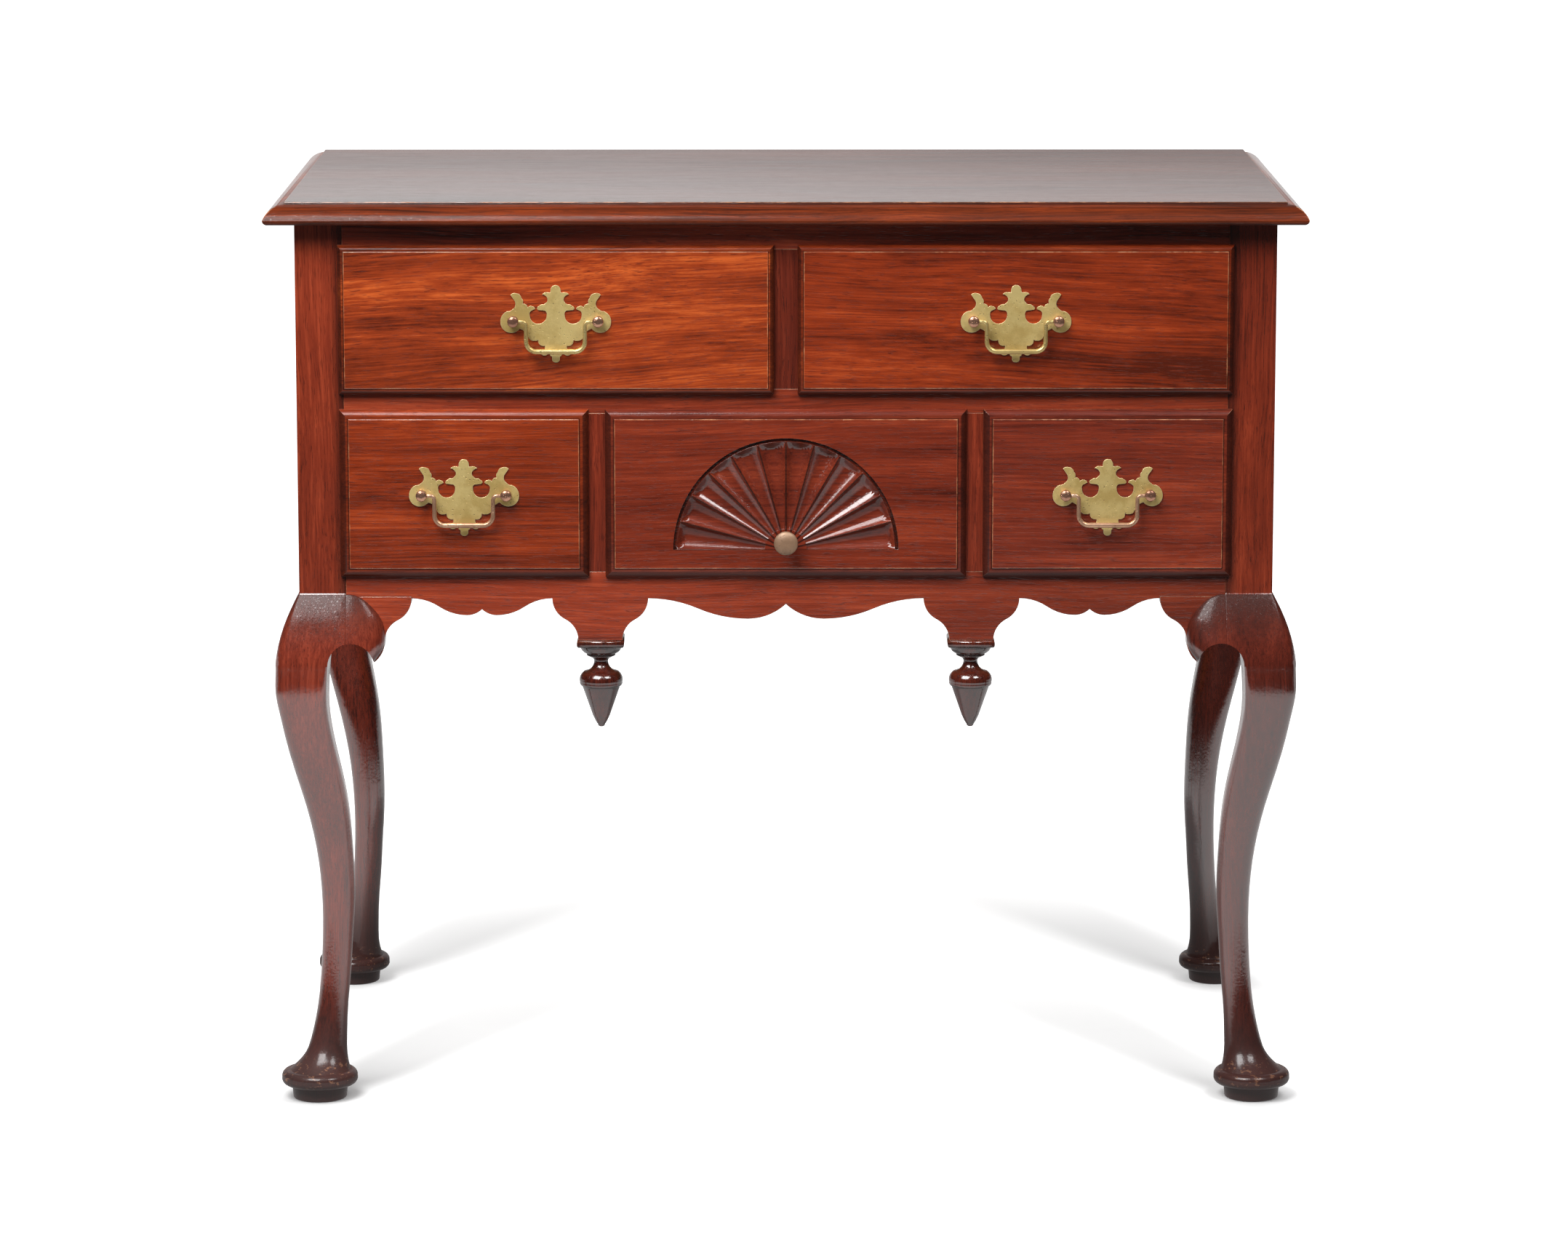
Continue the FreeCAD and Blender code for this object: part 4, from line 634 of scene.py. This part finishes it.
def from_rim(point, low, high):
    """How far a point is from the nearest outer edge, seen from the front."""
    return min(min(point[axis] - low[axis], high[axis] - point[axis]) for axis in (0, 2))


def middle_of(edge):
    """The point halfway along an edge."""
    return (edge.verts[0].co + edge.verts[1].co) / 2


def lip_painted_shade(normal):
    """How dark a lip face is painted by the way it faces, as painted shade: darkest at the sides, then
    below, least on top.
    """
    if abs(normal.x) > 0.3:
        return 0.9
    if normal.z < -0.3:
        return 0.7
    return 0.25 if normal.z > 0.3 else 0.4


def darken_lip(shape):
    """Mark what stands back from a drawer's field to be painted darker: its moulded lip as painted shade,
    and the carving a little all over.
    """
    grime = shape.loops.layers.float["grime"]
    lip = shape.loops.layers.float["lip"]
    low, high = extent(shape)
    for face in shape.faces:
        middle = face.calc_center_median()
        if middle.y > low[1] + FIELD_DEPTH:
            on_lip = from_rim(middle, low, high) < LIP_REACH
            for loop in face.loops:
                # Lip faces get painted shade by the way they face; the carving is a little darker all over.
                loop[grime] = lip_painted_shade(face.normal) if on_lip else 0.28
                loop[lip] = 1.0 if on_lip else 0.0


def off_fan(edge):
    """Whether an edge lies outside the flutes of the carved fan, on its rim or beyond."""
    middle = middle_of(edge)
    return math.hypot(middle.x, middle.z - FAN_Z) > FAN_RADIUS - 0.003


def field_edges(shape):
    """The straight border of a drawer's field, which hands and dusters wear most."""
    low, high = extent(shape)
    border = []
    for edge in sharp_edges(shape, True):
        in_field = max(vertex.co.y for vertex in edge.verts) < low[1] + FIELD_DEPTH
        if in_field and from_rim(middle_of(edge), low, high) < LIP_REACH:
            border.append(edge)
    return border


print("lips reach in by", LIP_REACH)

# %% [markdown]
# Boards, drawer fronts and backplates get eased edges, and a modifier for weighted normals keeps their
# flats looking flat. The pendants' square plates have a rounder edge that is hardly rubbed. Legs and knee
# blocks are curved all over, so they are only welded and shaded smooth, but for their real corners.

# %% Copies of the solids
EDGE = 0.0006
FINE_EDGE = 0.0004
PLATE_EDGE = 0.0024
PLATE_SIDE = 0.03


def keep_flats(piece):
    """Let large faces rule the shading of the narrow ones beside them."""
    piece.modifiers.new("flats", "WEIGHTED_NORMAL").keep_sharp = True
    return piece


def eased_piece(node, finish, body="case", width=FINE_EDGE, lipped=False):
    """A copy of one solid with eased edges."""
    shape = welded(node)
    if lipped:
        darken_lip(shape)
    darken_corners(shape, [edge for edge in sharp_edges(shape, False) if not lipped or off_fan(edge)])
    if lipped:
        ease(shape, WORN_EDGE, 2, field_edges(shape))
    ease(shape, width, 2, sharp_edges(shape, True))
    return keep_flats(add_piece(shape, node + "_eased", finish, body, [node]))


def eased_pendant(node, finish):
    """A pendant whose square plate has a rounded edge."""
    shape = welded(node)
    darken_corners(shape, sharp_edges(shape, False))
    plate = [edge for edge in sharp_edges(shape, True) if edge.calc_length() > PLATE_SIDE]
    ease(shape, PLATE_EDGE, 4, plate, mark=0.1)
    return keep_flats(add_piece(shape, node + "_eased", finish, "case", [node]))


def smooth_piece(node, finish):
    """A copy of a curved solid, shaded without seams between its faces but for real corners."""
    shape = welded(node, flatten=False)
    for edge in shape.edges:
        edge.smooth = not edge.is_manifold or edge.calc_face_angle() < CORNER
    return add_piece(shape, node + "_smooth", finish, "case", [node])


copies = [eased_piece("top_board", case_woods["top"], width=EDGE)]
for node in ("top_rail", "front_apron", "apron_brackets"):
    copies.append(eased_piece(node, case_woods["rails"]))
copies.append(eased_piece("middle_rail", case_woods["middle_rail"]))
copies.append(eased_piece("upper_divider", case_woods["upper_divider"]))
for node in ("lower_left_divider", "lower_right_divider"):
    copies.append(eased_piece(node, case_woods["lower_dividers"]))
for node in ("left_side_panel", "right_side_panel"):
    copies.append(eased_piece(node, case_woods["panels"]))
for drawer, wood in front_woods.items():
    body = drawer + "_drawer"
    copies.append(eased_piece(body + "_front", wood, body, lipped=True))
    if drawer != "lower_centre":
        copies.append(eased_piece(drawer + "_pull_backplate", plate_brass, body))
for node in ("left_pendant", "right_pendant"):
    copies.append(eased_pendant(node, case_woods["pendants"]))
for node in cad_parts:
    if node.endswith("_leg") or "knee_block" in node:
        copies.append(smooth_piece(node, case_woods["legs"]))
print("copies:", len(copies), "faces:", sum(len(piece.data.polygons) for piece in copies))

# %% [markdown]
# A cast bail is thinnest where its ends turn in the posts and swells towards the middle of its bar. The
# solid is an even wire, so a copy is welded and each point is moved along its normal by a little more or
# less, depending on how far down and how near the middle it is.

# %% Bails
BAIL_DROP = 0.0264
BAIL_HALF = 0.0258
PIVOT_BELOW_TOP = 0.002
THINNER_AT_ENDS = 0.0003
THICKER_BELOW = 0.0001
SWELL = 0.0006
bail_finishes = {
    "upper_left": bail_yellow,
    "upper_right": bail_yellow,
    "lower_left": bail_copper,
    "lower_right": bail_copper,
}
bails = []
for drawer, finish in bail_finishes.items():
    node = drawer + "_bail"
    shape = welded(node)
    shape.normal_update()
    low, high = extent(shape)
    middle = (low[0] + high[0]) / 2
    pivot = high[2] - PIVOT_BELOW_TOP
    moves = []
    for vertex in shape.verts:
        down = min(max((pivot - vertex.co.z) / BAIL_DROP, 0.0), 1.0)
        inward = 1.0 - min(abs(vertex.co.x - middle) / BAIL_HALF, 1.0)
        moves.append(-THINNER_AT_ENDS * (1.0 - down) + THICKER_BELOW * down + SWELL * down * inward)
    for vertex, amount in zip(list(shape.verts), moves):
        vertex.co += vertex.normal * amount
    bails.append(add_piece(shape, node + "_cast", finish, node, [node]))
print("bails:", len(bails))

# %% [markdown]
# The remaining solids are small and turned, or out of sight, so their own meshes stay and only get a finish.

# %% Finishes for the other solids
finishes = {}
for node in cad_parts:
    if node.endswith("_drawer_sides") or node in ("upper_runners", "lower_runners", "kickers"):
        finishes[node] = pine_long
    elif node.endswith(("_drawer_back", "_drawer_bottom")) or node in ("back_panel", "glue_blocks"):
        finishes[node] = pine_wide
    elif node.endswith("_posts"):
        finishes[node] = head_copper
    elif node == "centre_knob":
        finishes[node] = knob_brass
for node, finish in finishes.items():
    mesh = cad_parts[node].data
    mesh.materials.clear()
    mesh.materials.append(finish)
print("solids finished:", len(finishes))

# %% [markdown]
# The studio has a pale floor that runs on as the background, and rays are sorted by where they come from.
# The camera sees the floor white, because some glow is added to what the lamps give it; the glow is held
# back round the table, so that its shadow stays, and further along streaks behind the feet, which paints
# shadows there. Polished surfaces mirror a floor that is white near the table and behind it, dark far out,
# and darker under the table and just behind it, where a shadow of the case is painted into the mirrored
# floor.
# For light that spreads the floor is dim, so that it doesn't tint the wood from below.

# %% Floor
FLOOR_SIZE = 80.0
FOOT_X = 0.4195
FRONT_FEET_Y = -0.2226
REAR_FEET_Y = 0.2304
INWARDS = 0.42
BACKWARDS = 0.91
WHITE = (1.0, 1.0, 1.0, 1.0)
BLACK = (0.0, 0.0, 0.0, 1.0)


def seen(place):
    """Two masks: rays from the camera, and rays that a mirror or glass sends on."""
    camera = place.node("ShaderNodeLightPath", output="Is Camera Ray")
    glossy = place.node("ShaderNodeLightPath", output="Is Glossy Ray")
    through = place.node("ShaderNodeLightPath", output="Is Transmission Ray")
    return camera, larger(glossy, through)


def grey(level):
    """A colour without a tint."""
    return (level, level, level, 1.0)


def foot_shadow(inward, forward, foot_y):
    """A painted shadow of two feet, running inwards and back: 1 at the foot, fading along and across."""
    back = forward - foot_y
    along = inward * INWARDS + back * BACKWARDS
    across = inward * BACKWARDS - back * INWARDS
    narrow = 1.0 - step_up(unsigned(across) - along * 0.06, 0.01, 0.07)
    return narrow * (1.0 - step_up(along, 0.0, 0.6)) * step_up(along, -0.12, 0.0)


def mirrored_floor(side, forward, away):
    """The floor as polished surfaces show it, with a painted shadow of the case under and behind the table.
    """
    # Painted shadow of the case in the mirrored floor, under the table and just behind it.
    below = (1.0 - step_up(side, 0.3, 0.55)) * step_up(forward, -0.3, -0.1)
    bright = larger(1.0 - step_up(away, 1.35, 2.05), step_up(forward, 0.2, 0.8) * 0.8)
    bright = bright * (1.0 - below * (1.0 - step_up(forward, 0.5, 1.1)) * 0.65)
    return ramp(bright, ((0.0, grey(0.02)), (1.0, WHITE)))


def floor_glow(side, forward, away):
    """The camera's added glow, lower round the table so its shadow shows, and lower along painted foot
    shadows.
    """
    inward = FOOT_X - side
    front_feet = foot_shadow(inward, forward, FRONT_FEET_Y)
    rear_feet = foot_shadow(inward, forward, REAR_FEET_Y)
    shadow = (1.0 - step_up(away, 0.45, 1.15)) * 0.25 + (front_feet * 0.7 + rear_feet * 0.42)
    return ramp(shadow, ((0.0, WHITE), (1.0, BLACK)))


floor_finish, place = new_finish("pale_floor")
camera_ray, mirror_ray = seen(place)
side = unsigned(coordinate(place, "X"))
forward = coordinate(place, "Y")
away = place.node("ShaderNodeVectorMath", {"operation": "LENGTH"}, {0: place}, "Value")
lit = place.node("ShaderNodeBsdfDiffuse", {}, {"Color": grey(0.62)})
dim = place.node("ShaderNodeBsdfDiffuse", {}, {"Color": grey(0.14)})
glow = place.node("ShaderNodeEmission", {}, {"Color": floor_glow(side, forward, away), "Strength": 1.0})
lifted = place.node("ShaderNodeAddShader", {}, {0: lit, 1: glow})
shown = place.node("ShaderNodeEmission", {}, {"Color": mirrored_floor(side, forward, away), "Strength": 1.0})
to_camera = place.node("ShaderNodeMixShader", {}, {0: camera_ray, 1: dim, 2: lifted})
to_mirror = place.node("ShaderNodeMixShader", {}, {0: mirror_ray, 1: to_camera, 2: shown})
place.node("ShaderNodeOutputMaterial", {}, {"Surface": to_mirror})
shape = bmesh.new()
bmesh.ops.create_grid(shape, x_segments=1, y_segments=1, size=FLOOR_SIZE / 2)
mesh = bpy.data.meshes.new("floor")
shape.to_mesh(mesh)
shape.free()
mesh.materials.append(floor_finish)
floor = bpy.data.objects.new("floor", mesh)
bpy.context.scene.collection.objects.link(floor)
print("floor:", FLOOR_SIZE, "metres square")

# %% [markdown]
# Above the floor the surroundings are white to the camera. They light the table from a pale backdrop
# behind it and are dark behind the camera, which is why the drawer fronts show their colour while the
# top mirrors the backdrop. A mirrored backdrop is smaller, so that the sides don't turn grey.

# %% Surroundings
DARK_ROOM = 0.03
world = bpy.data.worlds.new("studio")
bpy.context.scene.world = world
world.use_nodes = True
world.node_tree.nodes.clear()
place = Wire(world.node_tree).node("ShaderNodeTexCoord", output="Generated")
camera_ray, mirror_ray = seen(place)
depth = coordinate(place, "Y")


def background(level):
    """An even grey from all around."""
    return place.node("ShaderNodeBackground", {}, {"Color": grey(level), "Strength": 1.0})


def blended(mask, first, second):
    """Two surroundings mixed by a mask."""
    return place.node("ShaderNodeMixShader", {}, {0: mask, 1: first, 2: second})


spread = blended(step_up(depth, -0.15, 0.45), background(DARK_ROOM), background(1.0))
mirrored = blended(step_up(depth, 0.6, 0.95), background(DARK_ROOM), background(0.75))
unseen = blended(mirror_ray, spread, mirrored)
place.node("ShaderNodeOutputWorld", {}, {"Surface": blended(camera_ray, unseen, background(1.0))})
print("surroundings:", world.name)

# %% [markdown]
# One large soft light stands at the front left and a smaller one at the front right, both high, so that
# the top throws its shadow on the rail below it and the lips throw theirs. Area lights give the soft
# edges that a studio's softboxes give.

# %% Softboxes
AIM = Vector((0.0, -0.2, 0.5))


def softbox(name, azimuth, elevation, distance, size, watts):
    """A square area light aimed at the table; azimuth is counted from straight ahead, right is positive."""
    turn, lift = math.radians(azimuth), math.radians(elevation)
    towards = Vector((math.sin(turn) * math.cos(lift), -math.cos(turn) * math.cos(lift), math.sin(lift)))
    lamp = bpy.data.lights.new(name, "AREA")
    lamp.size = size
    lamp.energy = watts
    light = bpy.data.objects.new(name, lamp)
    turned = towards.to_track_quat("Z", "Y").to_matrix().to_4x4()
    light.matrix_world = Matrix.Translation(AIM + towards * distance) @ turned
    bpy.context.scene.collection.objects.link(light)


softbox("softbox_left", -32, 48, 3.0, 1.7, 132)
softbox("softbox_right", 42, 48, 3.0, 1.0, 42)
print("softboxes: 2")

# %% [markdown]
# The camera stands well back with a long lens and looks down a little, as in the photograph.

# %% Camera
LOOKS_DOWN = 10.0
TURNS_RIGHT = 0.152
lens = bpy.data.cameras.new("camera")
lens.lens = 135.4
lens.sensor_width = 36.0
lens.clip_end = 200.0
camera = bpy.data.objects.new("camera", lens)
camera.location = (-0.0153, -5.3847, 1.3395)
camera.rotation_euler = (math.radians(90 - LOOKS_DOWN), 0.0, math.radians(-TURNS_RIGHT))
bpy.context.scene.collection.objects.link(camera)
bpy.context.scene.camera = camera
bpy.context.scene.view_settings.view_transform = "Standard"
print("camera at", tuple(camera.location))
